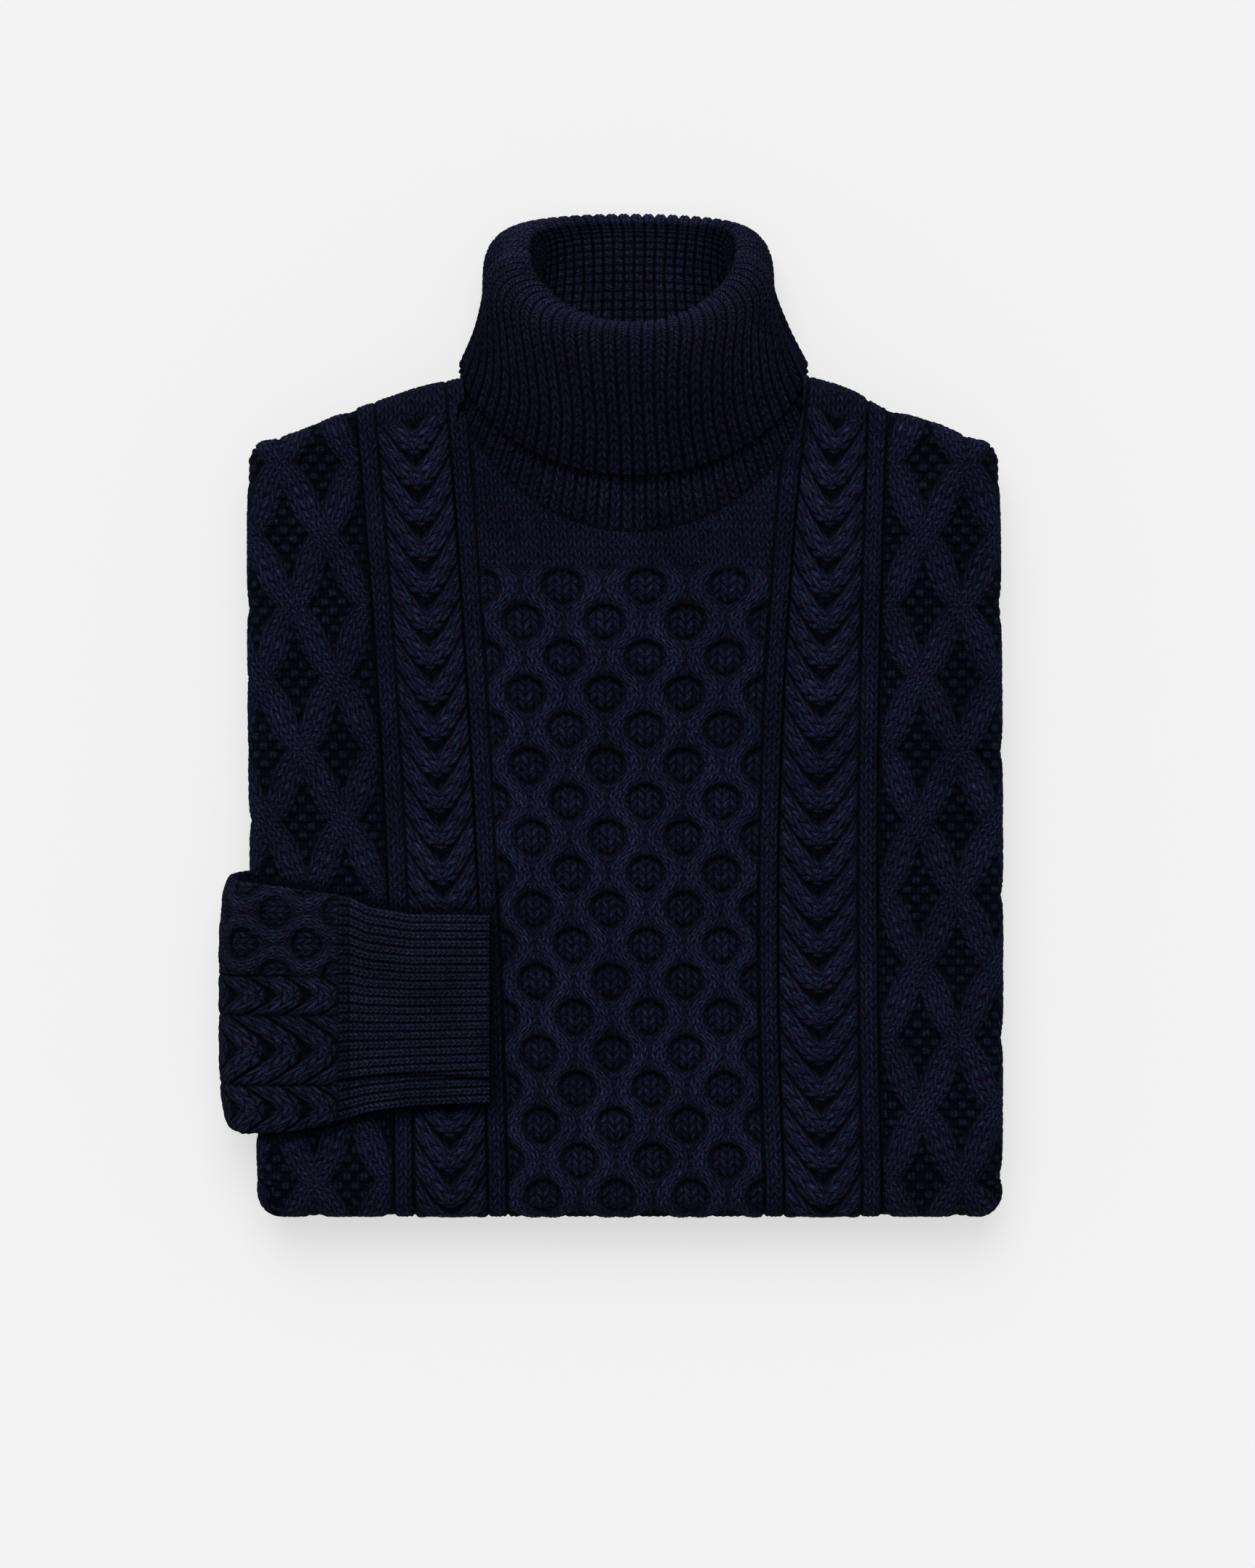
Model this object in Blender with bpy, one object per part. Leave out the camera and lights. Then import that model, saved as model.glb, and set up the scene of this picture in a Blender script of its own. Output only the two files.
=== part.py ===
"""An aran turtleneck sweater, folded flat with one sleeve brought round onto its front.

Sizes are in millimetres and are turned into metres as each mesh is made. X runs across the
chest, Y up to the collar and Z up from the surface that the sweater lies on.
"""

import math

import bmesh
import bpy
import numpy as np

MM = 0.001
GAP = 0.4
HALF_SEAM = 0.2

# The front's wall, the soft rolls at its folded edges and the height that it lies at
WALL = 3.0
TOP_HEIGHT = 36.0
CROWN = 4.0
CROWN_CENTRE = (7.0, -50.0)
CROWN_HALF = (195.0, 205.0)
SIDE_RADIUS = 7.5
BOTTOM_RADIUS = 16.5
FOLD_INSET = 13.0
BOTTOM_FOLD = -255.0

# Where each knitted column runs: x at three heights of the front
COLUMN_HEIGHTS = (128.0, -7.0, -248.0)
COLUMNS = {
    "left fold": (-201.0, -200.5, -195.5),
    "left outer rib": (-131.8, -121.8, -114.2),
    "left inner rib": (-81.8, -72.8, -63.0),
    "right inner rib": (97.0, 87.8, 88.6),
    "right outer rib": (144.0, 140.6, 142.2),
    "right fold": (213.5, 214.8, 214.8),
}

# The shoulders' outline from side to side: x and y
SHOULDERS = (
    (-201.0, 143.0), (-190.0, 151.0), (-174.0, 156.0), (-152.0, 165.0), (-109.0, 180.0), (-84.0, 187.0),
    (107.0, 189.0), (134.0, 178.0), (147.0, 170.0), (178.0, 161.0), (202.0, 151.0), (214.0, 141.0),
)

# The knitted pattern: each cable crosses every REPEAT of the length
REPEAT = 19.68
RIB_HEIGHT, RIB_HALF, GUTTER = 2.4, 4.2, 6.0
BRAID_HEIGHT, BRAID_DROP, BRAID_START = 3.4, 28.0, 117.2
HONEYCOMB_HEIGHT, HONEYCOMB_START, HONEYCOMB_TOP = 3.4, 70.0, 80.0
HONEYCOMB_FIRST, HONEYCOMB_PERIOD, HONEYCOMB_SWAY, HONEYCOMB_RIBBON = 0.297, 0.2675, 0.145, 0.14
LATTICE_HEIGHT, LATTICE_START, LATTICE_FIRST, LATTICE_STEP = 3.0, 98.4, 7.0, 21.0
LATTICE_RIBBON = 0.42
BRAID_BOW, BRAID_LAG, BRAID_THIN, BRAID_WIDEN = 1.2, 0.06, 0.27, 0.2
BRAID_EDGE, BRAID_TOP = 0.3, (14.0, 24.0)
SWAY_SHARPNESS = 1.6
PLAIN_HEIGHT = 1.2

# The front's grid: columns between the ribs and rows down its length
ROW_STEP = REPEAT / 3
ROW_TOP, ROW_CLEAR = 197.2, 2.0
SHOULDER_LEVEL, NECK_LEVEL = 150.0, 160.0
COLUMN_STEPS = (7, 1, 1, 6, 1, 1, 21, 1, 1, 6, 1, 1, 7)
SIDE_ROLL = (32.0, 66.0, 105.0, 150.0)
BOTTOM_ROLL = (24.0, 50.0, 78.0, 110.0, 150.0)
SHOULDER_ROLL = (32.0, 66.0, 100.0)
INSIDE_STEP = 3

# The neckline, as the lower half of a rounded loop
NECK_X, NECK_HALF, NECK_FRONT, NECK_SIDE, NECK_POWER = 11.8, 98.0, 98.5, 173.0, 1.25

# The collar's middle surface, from its hem over the crest to the neckline seam
COLLAR_FIELDS = ("x", "half", "y_front", "y_side", "y_back", "z_front", "z_side", "z_back", "crowd")
COLLAR_RINGS = (
    (11.8, 94.0, 130.5, 188.0, 203.0, 46.4, 24.0, 2.2, 0.0),
    (10.8, 85.0, 155.0, 205.0, 225.0, 47.6, 23.0, 2.2, 0.0),
    (9.2, 78.5, 183.0, 223.0, 250.0, 48.0, 22.0, 2.2, 0.3),
    (8.8, 77.0, 203.0, 240.0, 269.0, 47.8, 23.0, 3.4, 0.6),
    (9.2, 70.0, 211.0, 250.0, 275.0, 46.2, 27.0, 7.0, 0.8),
    (11.0, 59.5, 211.8, 252.5, 273.5, 43.4, 30.0, 10.8, 1.0),
    (12.2, 53.0, 205.0, 243.0, 265.0, 42.0, 27.0, 10.2, 1.0),
    (12.0, 57.0, 185.0, 222.0, 245.0, 42.2, 24.0, 9.0, 0.6),
    (12.0, 70.0, 155.0, 203.0, 220.0, 42.2, 25.0, 9.5, 0.3),
    (11.8, 84.0, 125.0, 184.0, 203.0, 41.4, 28.0, 16.0, 0.0),
    (11.8, 93.6, 99.8, 171.5, 189.5, 40.3, 31.0, 23.8, 0.0),
)
COLLAR_WALL = 3.2
COLLAR_RIBS = 66
COLLAR_RIB_HEIGHT = 0.9
COLLAR_SHOWN = (0.0, 0.12, 0.25, 0.35, 0.43, 0.5, 0.57, 0.7, 0.85, 1.0)
COLLAR_STAND = (1.0, 0.87)
COLLAR_HIDDEN, COLLAR_HIDDEN_COUNT = (0.84, 0.7, 0.58, 0.5, 0.42, 0.25, 0.03), 36
RING_POWER_FRONT, RING_POWER_BACK, RING_POWER_Z = 1.25, 0.7, 0.55

# The sleeve and its cuff as one flattened tube: how far along it is from the cuff's open end,
# and the y of its two edges
SLEEVE_ROWS = (
    (0.0, -109.6, -211.6),
    (43.0, -109.2, -213.6),
    (66.0, -105.0, -216.8),
    (76.0, -99.8, -220.0),
    (95.0, -97.6, -225.0),
    (116.0, -94.4, -228.4),
    (140.0, -92.0, -229.0),
    (160.0, -88.0, -226.0),
    (186.0, -86.0, -222.0),
)
CUFF_END_X, CUFF_LENGTH = -67.0, 76.0
SLEEVE_THICKNESS, SLEEVE_WALL, SLEEVE_CLEAR = 13.0, 3.2, 1.4
WRAP_X, WRAP_Z, WRAP_SIDE, WRAP_TOP, WRAP_BASE = -188.0, 24.0, 14.4, 16.4, 10.6
WRAP_LENGTH = 23.5
SLEEVE_END = 184.0
CUFF_RIBS, CUFF_RIB_HEIGHT = 23, 0.8
CREASE_Y, CREASE_DEPTH, CREASE_HALF, CREASE_STEP, CREASE_STEP_WIDTH = -197.6, 2.4, 2.4, 1.2, 3.0
SLEEVE_SPREAD, SLEEVE_ROUND = 0.75, 4
SLEEVE_INSIDE_TOP, SLEEVE_INSIDE_BOTTOM = 1.5, 16.0
CUFF_OUTER = (0.0, 1.5, 20.0, 38.0, 56.0, 66.0)
CUFF_INNER, CUFF_SEAM = (0.0, 38.0), 0.15

# The sleeve's cables: cells above, then a ridge, a braid, and a plain band below them
SLEEVE_RELIEF, SLEEVE_RELIEF_TURN = 2.2, 2.4
SLEEVE_CELL_Y, SLEEVE_CELL_WIDTH, SLEEVE_CELL_AT, SLEEVE_CELLS_END = -122.0, 26.0, 100.0, -144.0
SLEEVE_CELL_SWAY, SLEEVE_CELL_RIBBON = 0.12, 0.16
SLEEVE_RIDGE_TOP, SLEEVE_RIDGE_END, SLEEVE_RIDGE_SHARE = -147.0, -150.0, 0.6
SLEEVE_BRAID_Y, SLEEVE_BRAID_HALF, SLEEVE_BRAID_LEAN, SLEEVE_BRAID_RIBBON = -177.0, 27.0, 24.0, 0.4
SLEEVE_PLAIN_SHARE = 0.5

# The back's edge: where its sections are, where it starts round the fold and how long it is below
BACK_X = (
    -185.0, -170.0, -150.0, -130.0, -110.0, -96.0, -87.0, -85.0, -60.0, -30.0, 12.0, 54.0, 84.0, 106.0,
    110.0, 120.0, 134.0, 150.0, 170.0, 185.0, 200.0,
)
BACK_NECK_HALF, BACK_START, BACK_NECK_START, BACK_LENGTH = 97.5, 105.0, 150.0, 28.0

# The folded layers: where their sides end, how far below the shoulders they stay under and over
# the back, the bay below the neck, and how they fill the bottom roll
LAYER_SIDE_TOP = (130.0, 92.0)
BELOW_BACK, ABOVE_BACK, NECK_BAY = 51.0, 17.0, 88.0
LAYER_CORNER, LAYER_CLEAR, LAYER_LIP, LAYER_LIP_INSET = 16.0, 1.2, 5.0, 8.0
LAYER_BOTTOM_X = (172.0, 90.0, 7.0, -76.0, -158.0)
LAYER_LEFT, LAYER_RIGHT, LAYER_PLACES, LAYER_SIDE_PLACES = -190.0, 200.0, 17, 12
LAYER_UPPER_INSET, LAYER_SHOULDER_OUT = 6.0, 9.5
LAYER_TUCK_BOTTOM, LAYER_TUCK_TOP = (-246.0, -236.0), (-80.0, -70.0)
BAY_LEFT, BAY_RIGHT = (-112.0, -92.0), (114.0, 134.0)

# The edges of the layers below the back: height, distance out from the fold lines, tuck by the sleeve
LAYER_EDGES = (
    (0.0, 5.0, 13.0),
    (1.6, 9.0, 13.0),
    (4.6, 11.4, 13.0),
    (7.6, 9.4, 13.0),
    (8.8, 7.0, 10.0),
    (10.0, 9.4, 13.0),
    (13.2, 11.4, 13.0),
    (16.2, 9.4, 10.0),
)
LAYER_SPLIT_OUT, LAYER_SPLIT_TUCK, LAYER_UPPER_OUT = (5.0, 1.5), 6.0, 1.0
LAYER_RIM_Z, LAYER_RIM_OUT, LAYER_TOP_OUT = 31.5, -2.0, -6.0
LAYER_MIDDLE, LAYER_BASE = (7.0, -80.0), (7.0, -60.0, 0.0)
LAYER_TOP_SCALES, LAYER_RIM_DROP, LAYER_TOP_DROP = (1.0, 0.86, 0.68, 0.4), 0.4, 0.1


def blend(value, low, high):
    """From 0 at low to 1 at high, smoothly."""
    part = np.clip((value - low) / (high - low), 0.0, 1.0)
    return part * part * (3.0 - 2.0 * part)


def dome(offset):
    """A rounded ridge: 1 at offset 0 and 0 from offset 1 outward."""
    return np.sqrt(np.clip(1.0 - np.square(offset), 0.0, 1.0))


def column_x(name, y):
    """The x of a knitted column at the height y, on one curve through its three places."""
    y = np.maximum(y, BOTTOM_FOLD)
    a, b, c = COLUMN_HEIGHTS
    at_a, at_b, at_c = COLUMNS[name]
    return (
        at_a * (y - b) * (y - c) / ((a - b) * (a - c))
        + at_b * (y - a) * (y - c) / ((b - a) * (b - c))
        + at_c * (y - a) * (y - b) / ((c - a) * (c - b))
    )


def crown(x, y):
    """How far the front rises above its edges."""
    across = np.clip((x - CROWN_CENTRE[0]) / CROWN_HALF[0], -1.0, 1.0)
    along = np.clip((y - CROWN_CENTRE[1]) / CROWN_HALF[1], -1.0, 1.0)
    return CROWN * (1.0 - across**4) * (1.0 - along**4)


def shoulder_y(x):
    """The outline of the shoulders."""
    table = np.array(SHOULDERS)
    return np.interp(x, table[:, 0], table[:, 1])


def neckline_y(x):
    """The front's neckline, or far above it beside the neck."""
    across = (np.asarray(x, float) - NECK_X) / NECK_HALF
    depth = np.clip(1.0 - np.square(across), 0.0, 1.0) ** (NECK_POWER / 2)
    inside = NECK_SIDE - (NECK_SIDE - NECK_FRONT) * depth
    return np.where(np.abs(across) < 1.0, inside, 1000.0)


def honeycomb(x, y, left, right):
    """Ribbons that wave from side to side and ring hollow cells."""
    cell = ((x - left) / (right - left) - HONEYCOMB_FIRST) / HONEYCOMB_PERIOD
    from_centre = np.abs(cell - np.round(cell))
    sway = np.tanh(SWAY_SHARPNESS * np.cos(math.pi * (HONEYCOMB_START - y) / REPEAT))
    offset = from_centre - 0.25 - HONEYCOMB_SWAY * sway
    ribbon = HONEYCOMB_HEIGHT * dome(offset / HONEYCOMB_RIBBON)
    start = blend(HONEYCOMB_TOP - y, -4.0, 4.0)
    return np.maximum(ribbon * start, PLAIN_HEIGHT * (1.0 - start))


def braid(x, y, left, right):
    """Ribbons that fall from both sides to a point in the middle, one under the other."""
    half = (right - left) / 2 - GUTTER
    out = np.abs(x - (left + right) / 2) / half
    turn = (BRAID_START + BRAID_DROP * np.clip(out, 0, 1) ** BRAID_BOW - y) / REPEAT
    part = turn - np.floor(turn)
    spread = BRAID_THIN + BRAID_WIDEN * blend(out, 0.1, 0.7)
    ribbon = dome((part - BRAID_LAG - spread) / spread)
    edge = dome(np.clip((out - 1.0 + BRAID_EDGE) / BRAID_EDGE, 0, 1))
    top = blend(shoulder_y(x) - y, *BRAID_TOP)
    return BRAID_HEIGHT * ribbon * edge * top


def lattice(out, y):
    """Ribbons that cross each other, with low diamonds between them."""
    across = (out - LATTICE_FIRST) / LATTICE_STEP
    along = (LATTICE_START - y) / (2 * REPEAT)
    height = np.zeros_like(out)
    for lean in (across + along, across - along):
        offset = np.abs(lean % 2.0 - 1.0)
        height = np.maximum(height, dome(offset / LATTICE_RIBBON))
    return LATTICE_HEIGHT * height * blend(out, GUTTER - 1.0, GUTTER + 3.0)


def relief(x, y):
    """How far the cables stand above the purl ground, at a place of the spread front."""
    x, y = np.broadcast_arrays(np.asarray(x, float), np.asarray(y, float))
    ribs = [column_x(name, y) for name in list(COLUMNS)[1:5]]
    height = np.zeros_like(x)
    for rib in ribs:
        height = np.maximum(height, RIB_HEIGHT * dome((x - rib) / RIB_HALF))
    inner = [(ribs[0], ribs[1]), (ribs[2], ribs[3])]
    for left, right in inner:
        inside = (x > left + GUTTER) & (x < right - GUTTER)
        height = np.where(inside, braid(x, y, left, right), height)
    inside = (x > ribs[1] + GUTTER - 1) & (x < ribs[2] - GUTTER + 1)
    height = np.where(inside, honeycomb(x, y, ribs[1], ribs[2]), height)
    height = np.maximum(height, np.where(x < ribs[0], lattice(ribs[0] - x, y), 0.0))
    height = np.maximum(height, np.where(x > ribs[3], lattice(x - ribs[3], y), 0.0))
    return height * (1.0 - 0.85 * under_sleeve(x, y))


def under_sleeve(x, y):
    """Where the sleeve presses the front's cables flat: 0 outside it, 1 well inside."""
    table = np.array(SLEEVE_ROWS)
    along = CUFF_END_X - x
    top = np.interp(along, table[:, 0], table[:, 1])
    bottom = np.interp(along, table[:, 0], table[:, 2])
    inside = np.minimum(np.minimum(top - y, y - bottom), along)
    return blend(inside, -8.0, 0.0)


def front_point(x, side_angle, y, end_angle, out):
    """A point out from the front's inner face. The angles say how far it is round a fold.

    side_angle is below 0 at the left, and end_angle below 0 at the bottom.
    """
    angle = np.maximum(np.abs(side_angle), np.abs(end_angle))
    length = np.maximum(np.hypot(side_angle, end_angle), 1e-9)
    to_side, to_end = side_angle / length, end_angle / length
    end_radius = np.where(end_angle < 0, BOTTOM_RADIUS, SIDE_RADIUS)
    radius = SIDE_RADIUS * to_side**2 + end_radius * to_end**2
    radius = np.where(angle > 0, radius, SIDE_RADIUS)
    centre = TOP_HEIGHT + crown(x, y) - radius
    reach = (radius + out) * np.sin(angle)
    return np.stack(
        [x + reach * to_side, y + reach * to_end, centre + (radius + out) * np.cos(angle)], axis=-1
    )


def raised_front(x, side_angle, y, end_angle):
    """A point of the front's outer face, with its cables raised."""
    end_radius = np.where(end_angle < 0, BOTTOM_RADIUS, SIDE_RADIUS) + WALL
    spread_x = x + (SIDE_RADIUS + WALL) * side_angle
    spread_y = y + end_radius * end_angle
    angle = np.degrees(np.maximum(np.abs(side_angle), np.abs(end_angle)))
    height = relief(spread_x, spread_y) * (1.0 - blend(angle, 70.0, 120.0))
    return front_point(x, side_angle, y, end_angle, WALL + height)


class Surface:
    """Points in millimetres and the faces between them."""

    def __init__(self):
        self.points = []
        self.faces = []

    def add(self, rows):
        """Adds points and returns their numbers."""
        first = len(self.points)
        self.points.extend([tuple(float(value) for value in row) for row in rows])
        return list(range(first, len(self.points)))

    def zip(self, one, other, one_at=None, other_at=None):
        """Fills the strip between two lines of points, in the order of their places."""
        one_at = np.linspace(0, 1, len(one)) if one_at is None else one_at
        other_at = np.linspace(0, 1, len(other)) if other_at is None else other_at
        i = j = 0
        while i < len(one) - 1 or j < len(other) - 1:
            forward = j == len(other) - 1
            if i < len(one) - 1 and not forward:
                forward = one_at[i + 1] + one_at[i] <= other_at[j + 1] + other_at[j]
            if forward:
                self.faces.append((one[i], one[i + 1], other[j]))
                i += 1
            else:
                self.faces.append((one[i], other[j + 1], other[j]))
                j += 1

    def zip_loops(self, one, other):
        """Fills the band between two closed rings."""
        self.zip(one + one[:1], other + other[:1])

    def build(self, name, material, collection):
        """Makes the object, with its faces turned outward."""
        mesh = bpy.data.meshes.new(name)
        mesh.from_pydata([tuple(value * MM for value in point) for point in self.points], [], self.faces)
        work = bmesh.new()
        work.from_mesh(mesh)
        bmesh.ops.recalc_face_normals(work, faces=work.faces)
        work.to_mesh(mesh)
        work.free()
        mesh.shade_smooth()
        mesh.materials.append(material)
        item = bpy.data.objects.new(name, mesh)
        collection.objects.link(item)
        return item


def front_columns():
    """Each column of the front's grid as a function from y to x, and its angle round the fold."""
    names = list(COLUMNS)
    anchors = [(names[0], FOLD_INSET)]
    for name in names[1:5]:
        anchors += [(name, -GUTTER), (name, 0.0), (name, GUTTER)]
    anchors.append((names[5], -FOLD_INSET))
    columns = [(anchors[0], anchors[0], 0.0, -math.radians(a)) for a in reversed(SIDE_ROLL)]
    for start, end, steps in zip(anchors, anchors[1:], COLUMN_STEPS):
        columns += [(start, end, step / steps, 0.0) for step in range(steps)]
    columns += [(anchors[-1], anchors[-1], 0.0, 0.0)]
    columns += [(anchors[-1], anchors[-1], 0.0, math.radians(a)) for a in SIDE_ROLL]
    return columns


def column_place(column, y):
    """The x of one grid column at the height y."""
    (start, start_by), (end, end_by), part, _ = column
    x0 = column_x(start, y) + start_by
    return x0 + part * (column_x(end, y) + end_by - x0)


def front_face(surface, columns, row_step, raised):
    """One face of the front: columns of points from the shoulder or neckline to the bottom rim."""
    lines, places = [], []
    count = int((ROW_TOP - BOTTOM_FOLD) / ROW_STEP)
    levels = [(k, ROW_TOP - k * ROW_STEP) for k in range(0, count, row_step)]
    levels = [(k, y) for k, y in levels if y > BOTTOM_FOLD + ROW_CLEAR] + [(count, BOTTOM_FOLD)]
    for column in columns:
        side = column[3]
        x_high = column_place(column, SHOULDER_LEVEL)
        neck = float(neckline_y(x_high)) - HALF_SEAM
        for _ in range(4):
            neck = float(neckline_y(column_place(column, min(neck, NECK_LEVEL)))) - HALF_SEAM
        at_neck = neck < NECK_SIDE - 1.0
        top = neck if at_neck else float(shoulder_y(x_high)) - FOLD_INSET
        rows = [] if at_neck else [math.radians(a) for a in reversed(SHOULDER_ROLL)]
        level = (ROW_TOP - top) / ROW_STEP
        at = [level - len(rows) + i for i in range(len(rows))] + [level]
        ends = rows + [0.0]
        ys = [top] * (len(rows) + 1)
        for k, y in levels:
            if y < top - ROW_CLEAR:
                at.append(float(k))
                ends.append(0.0)
                ys.append(y)
        for step, angle in enumerate(BOTTOM_ROLL):
            at.append(float(count + 1 + step))
            ends.append(-math.radians(angle))
            ys.append(BOTTOM_FOLD)
        y = np.array(ys)
        end = np.array(ends)
        x = column_place(column, y)
        sides = np.full_like(y, side)
        if raised:
            points = raised_front(x, sides, y, end)
        else:
            points = front_point(x, sides, y, end, 0.0)
        lines.append(surface.add(points))
        places.append(at)
    for i in range(len(lines) - 1):
        surface.zip(lines[i], lines[i + 1], places[i], places[i + 1])
    return lines, places


def make_front(material, collection):
    """The cabled front: a raised outer face over a plain, coarser inner one."""
    surface = Surface()
    columns = front_columns()
    kept = sorted(set(range(0, len(columns), INSIDE_STEP)) | {len(columns) - 1})
    outer, outer_at = front_face(surface, columns, 1, True)
    inner, inner_at = front_face(surface, [columns[i] for i in kept], INSIDE_STEP, False)
    order = list(range(len(columns)))
    for end in (0, -1):
        surface.zip([line[end] for line in outer], [line[end] for line in inner], order, kept)
        surface.zip(outer[end], inner[end], outer_at[end], inner_at[end])
    return surface.build("front", material, collection)


def make_back(material, collection):
    """The back's shoulder and neck edge, rolled under the front."""
    surface = Surface()
    sections = []
    for x in BACK_X:
        y = float(shoulder_y(x)) - FOLD_INSET
        beside_neck = abs(x - NECK_X) > BACK_NECK_HALF
        start = BACK_START if beside_neck else BACK_NECK_START
        angles = np.radians(np.linspace(start, 180.0, 5))
        section = []
        for radius, order in ((SIDE_RADIUS + WALL, 1), (SIDE_RADIUS, -1)):
            centre = TOP_HEIGHT - SIDE_RADIUS
            arc = [(x, y + radius * math.sin(a), centre + radius * math.cos(a)) for a in angles]
            leg = [(x, y - BACK_LENGTH, centre - radius)]
            section += (arc + leg)[::order]
        sections.append(surface.add(section))
    for one, other in zip(sections, sections[1:]):
        surface.zip_loops(one, other)
    for section in (sections[0], sections[-1]):
        surface.zip(section[: len(section) // 2], section[: len(section) // 2 - 1 : -1])
    return surface.build("back", material, collection)


def collar_row(part):
    """The collar's sizes a part of the way from its hem to the seam, on a smooth curve."""
    table = np.array(COLLAR_RINGS)
    at = part * (len(table) - 1)
    i = int(min(max(math.floor(at), 0), len(table) - 2))
    t = at - i
    before = table[i - 1] if i > 0 else 2 * table[0] - table[1]
    after = table[i + 2] if i + 2 < len(table) else 2 * table[-1] - table[-2]
    a, b = table[i], table[i + 1]
    row = a + 0.5 * t * (b - before + t * (2 * before - 5 * a + 4 * b - after
                                           + t * (3 * (a - b) + after - before)))
    return dict(zip(COLLAR_FIELDS, row))


def collar_ring(part, count, shift=0.0):
    """A ring of the collar's middle surface: points evenly spaced from the middle of its back."""
    row = collar_row(part)
    turn = np.linspace(-math.pi / 2, 1.5 * math.pi, 721)
    cos, sin = np.cos(turn), np.sin(turn)
    x = row["x"] + row["half"] * cos
    to_y = np.where(sin > 0, row["y_front"], row["y_back"]) - row["y_side"]
    to_z = np.where(sin > 0, row["z_front"], row["z_back"]) - row["z_side"]
    power = np.where(sin > 0, RING_POWER_FRONT, RING_POWER_BACK)
    y = row["y_side"] + to_y * np.abs(sin) ** power
    z = row["z_side"] + to_z * np.abs(sin) ** RING_POWER_Z
    points = np.stack([x, y, z], axis=1)
    steps = np.linalg.norm(np.diff(points, axis=0), axis=1)
    steps *= 1.0 + row["crowd"] * np.abs(cos[1:]) ** 4
    way = np.concatenate([[0.0], np.cumsum(steps)])
    wanted = (np.arange(count) + shift) / count * way[-1]
    return np.stack([np.interp(wanted, way, points[:, k]) for k in range(3)], axis=1)


def collar_face(part, count, out):
    """A ring moved out from the middle surface by the distance given for each of its points."""
    step = 0.01
    ring = collar_ring(part, count)
    along = collar_ring(min(part + step, 1.0), count) - collar_ring(max(part - step, 0.0), count)
    around = np.roll(ring, -1, axis=0) - np.roll(ring, 1, axis=0)
    normal = np.cross(along, around)
    normal /= np.linalg.norm(normal, axis=1)[:, None]
    return ring + normal * np.reshape(out, (-1, 1))


def make_collar(material, collection):
    """The ribbed collar: its shown face has every rib, and the hidden one is plain."""
    surface = Surface()
    fine, coarse = 2 * COLLAR_RIBS, COLLAR_HIDDEN_COUNT
    rib = COLLAR_RIB_HEIGHT * (0.5 - (np.arange(fine) % 2))
    half = COLLAR_WALL / 2
    rings = [(part, fine, half + rib) for part in COLLAR_SHOWN]
    rings += [(part, fine, -half + rib) for part in COLLAR_STAND]
    rings += [(part, coarse, np.full(coarse, -half)) for part in COLLAR_HIDDEN]
    loops = [surface.add(collar_face(*ring)) for ring in rings]
    for one, other in zip(loops, loops[1:] + loops[:1]):
        surface.zip_loops(one, other)
    return surface.build("collar", material, collection)


def sleeve_edges(along):
    """The sleeve's two edges, at a distance along it from the cuff's end."""
    table = np.array(SLEEVE_ROWS)
    return (np.interp(along, table[:, 0], table[:, k]) for k in (1, 2))


def sleeve_point(along, y, out):
    """A point of the flattened sleeve, at the distance out from what it lies on."""
    x = CUFF_END_X - along
    if x >= WRAP_X:
        base = TOP_HEIGHT + WALL + SLEEVE_CLEAR
        return (x, y, base + float(crown(x, y)) + out)
    angle = (WRAP_X - x) / WRAP_LENGTH
    rise = WRAP_TOP if math.cos(angle) > 0 else WRAP_BASE
    height = WRAP_Z + (rise + out) * math.cos(angle)
    return (WRAP_X - (WRAP_SIDE + out) * math.sin(angle), y, height)


def sleeve_ring(along, tops, bases, inset, shape):
    """A closed ring round the flattened tube: its top from one edge to the other, then its base."""
    top, bottom = sleeve_edges(along)
    top, bottom = top - inset[0], bottom + inset[1]
    low, high = inset[2], SLEEVE_THICKNESS - inset[2]
    points = []
    for count, sign in ((tops, 1), (bases, -1)):
        for i in range(count):
            turn = math.pi * i / count
            across = math.cos(turn)
            across = math.copysign(abs(across) ** SLEEVE_SPREAD, across) * sign
            y = (top + bottom) / 2 + across * (top - bottom) / 2
            bulge = (1.0 - abs(across) ** SLEEVE_ROUND) ** 0.5
            out = (low + high) / 2 + sign * bulge * (high - low) / 2
            raised = shape(along, y, sign, i) * bulge if shape else 0.0
            points.append(sleeve_point(along, y, out + sign * raised))
    return points


def crease(y):
    """The cuff's lengthwise crease and the lower layer beside it."""
    groove = math.exp(-(((y - CREASE_Y) / CREASE_HALF) ** 2))
    return -CREASE_DEPTH * groove - CREASE_STEP * float(blend(CREASE_Y - y, 0.0, CREASE_STEP_WIDTH))


def cuff_relief(along, y, sign, i):
    """The cuff's ribs, which run along it, and its crease."""
    rib = CUFF_RIB_HEIGHT * (0.5 - (i % 2))
    return rib + (crease(y) if sign > 0 else 0.0)


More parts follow.
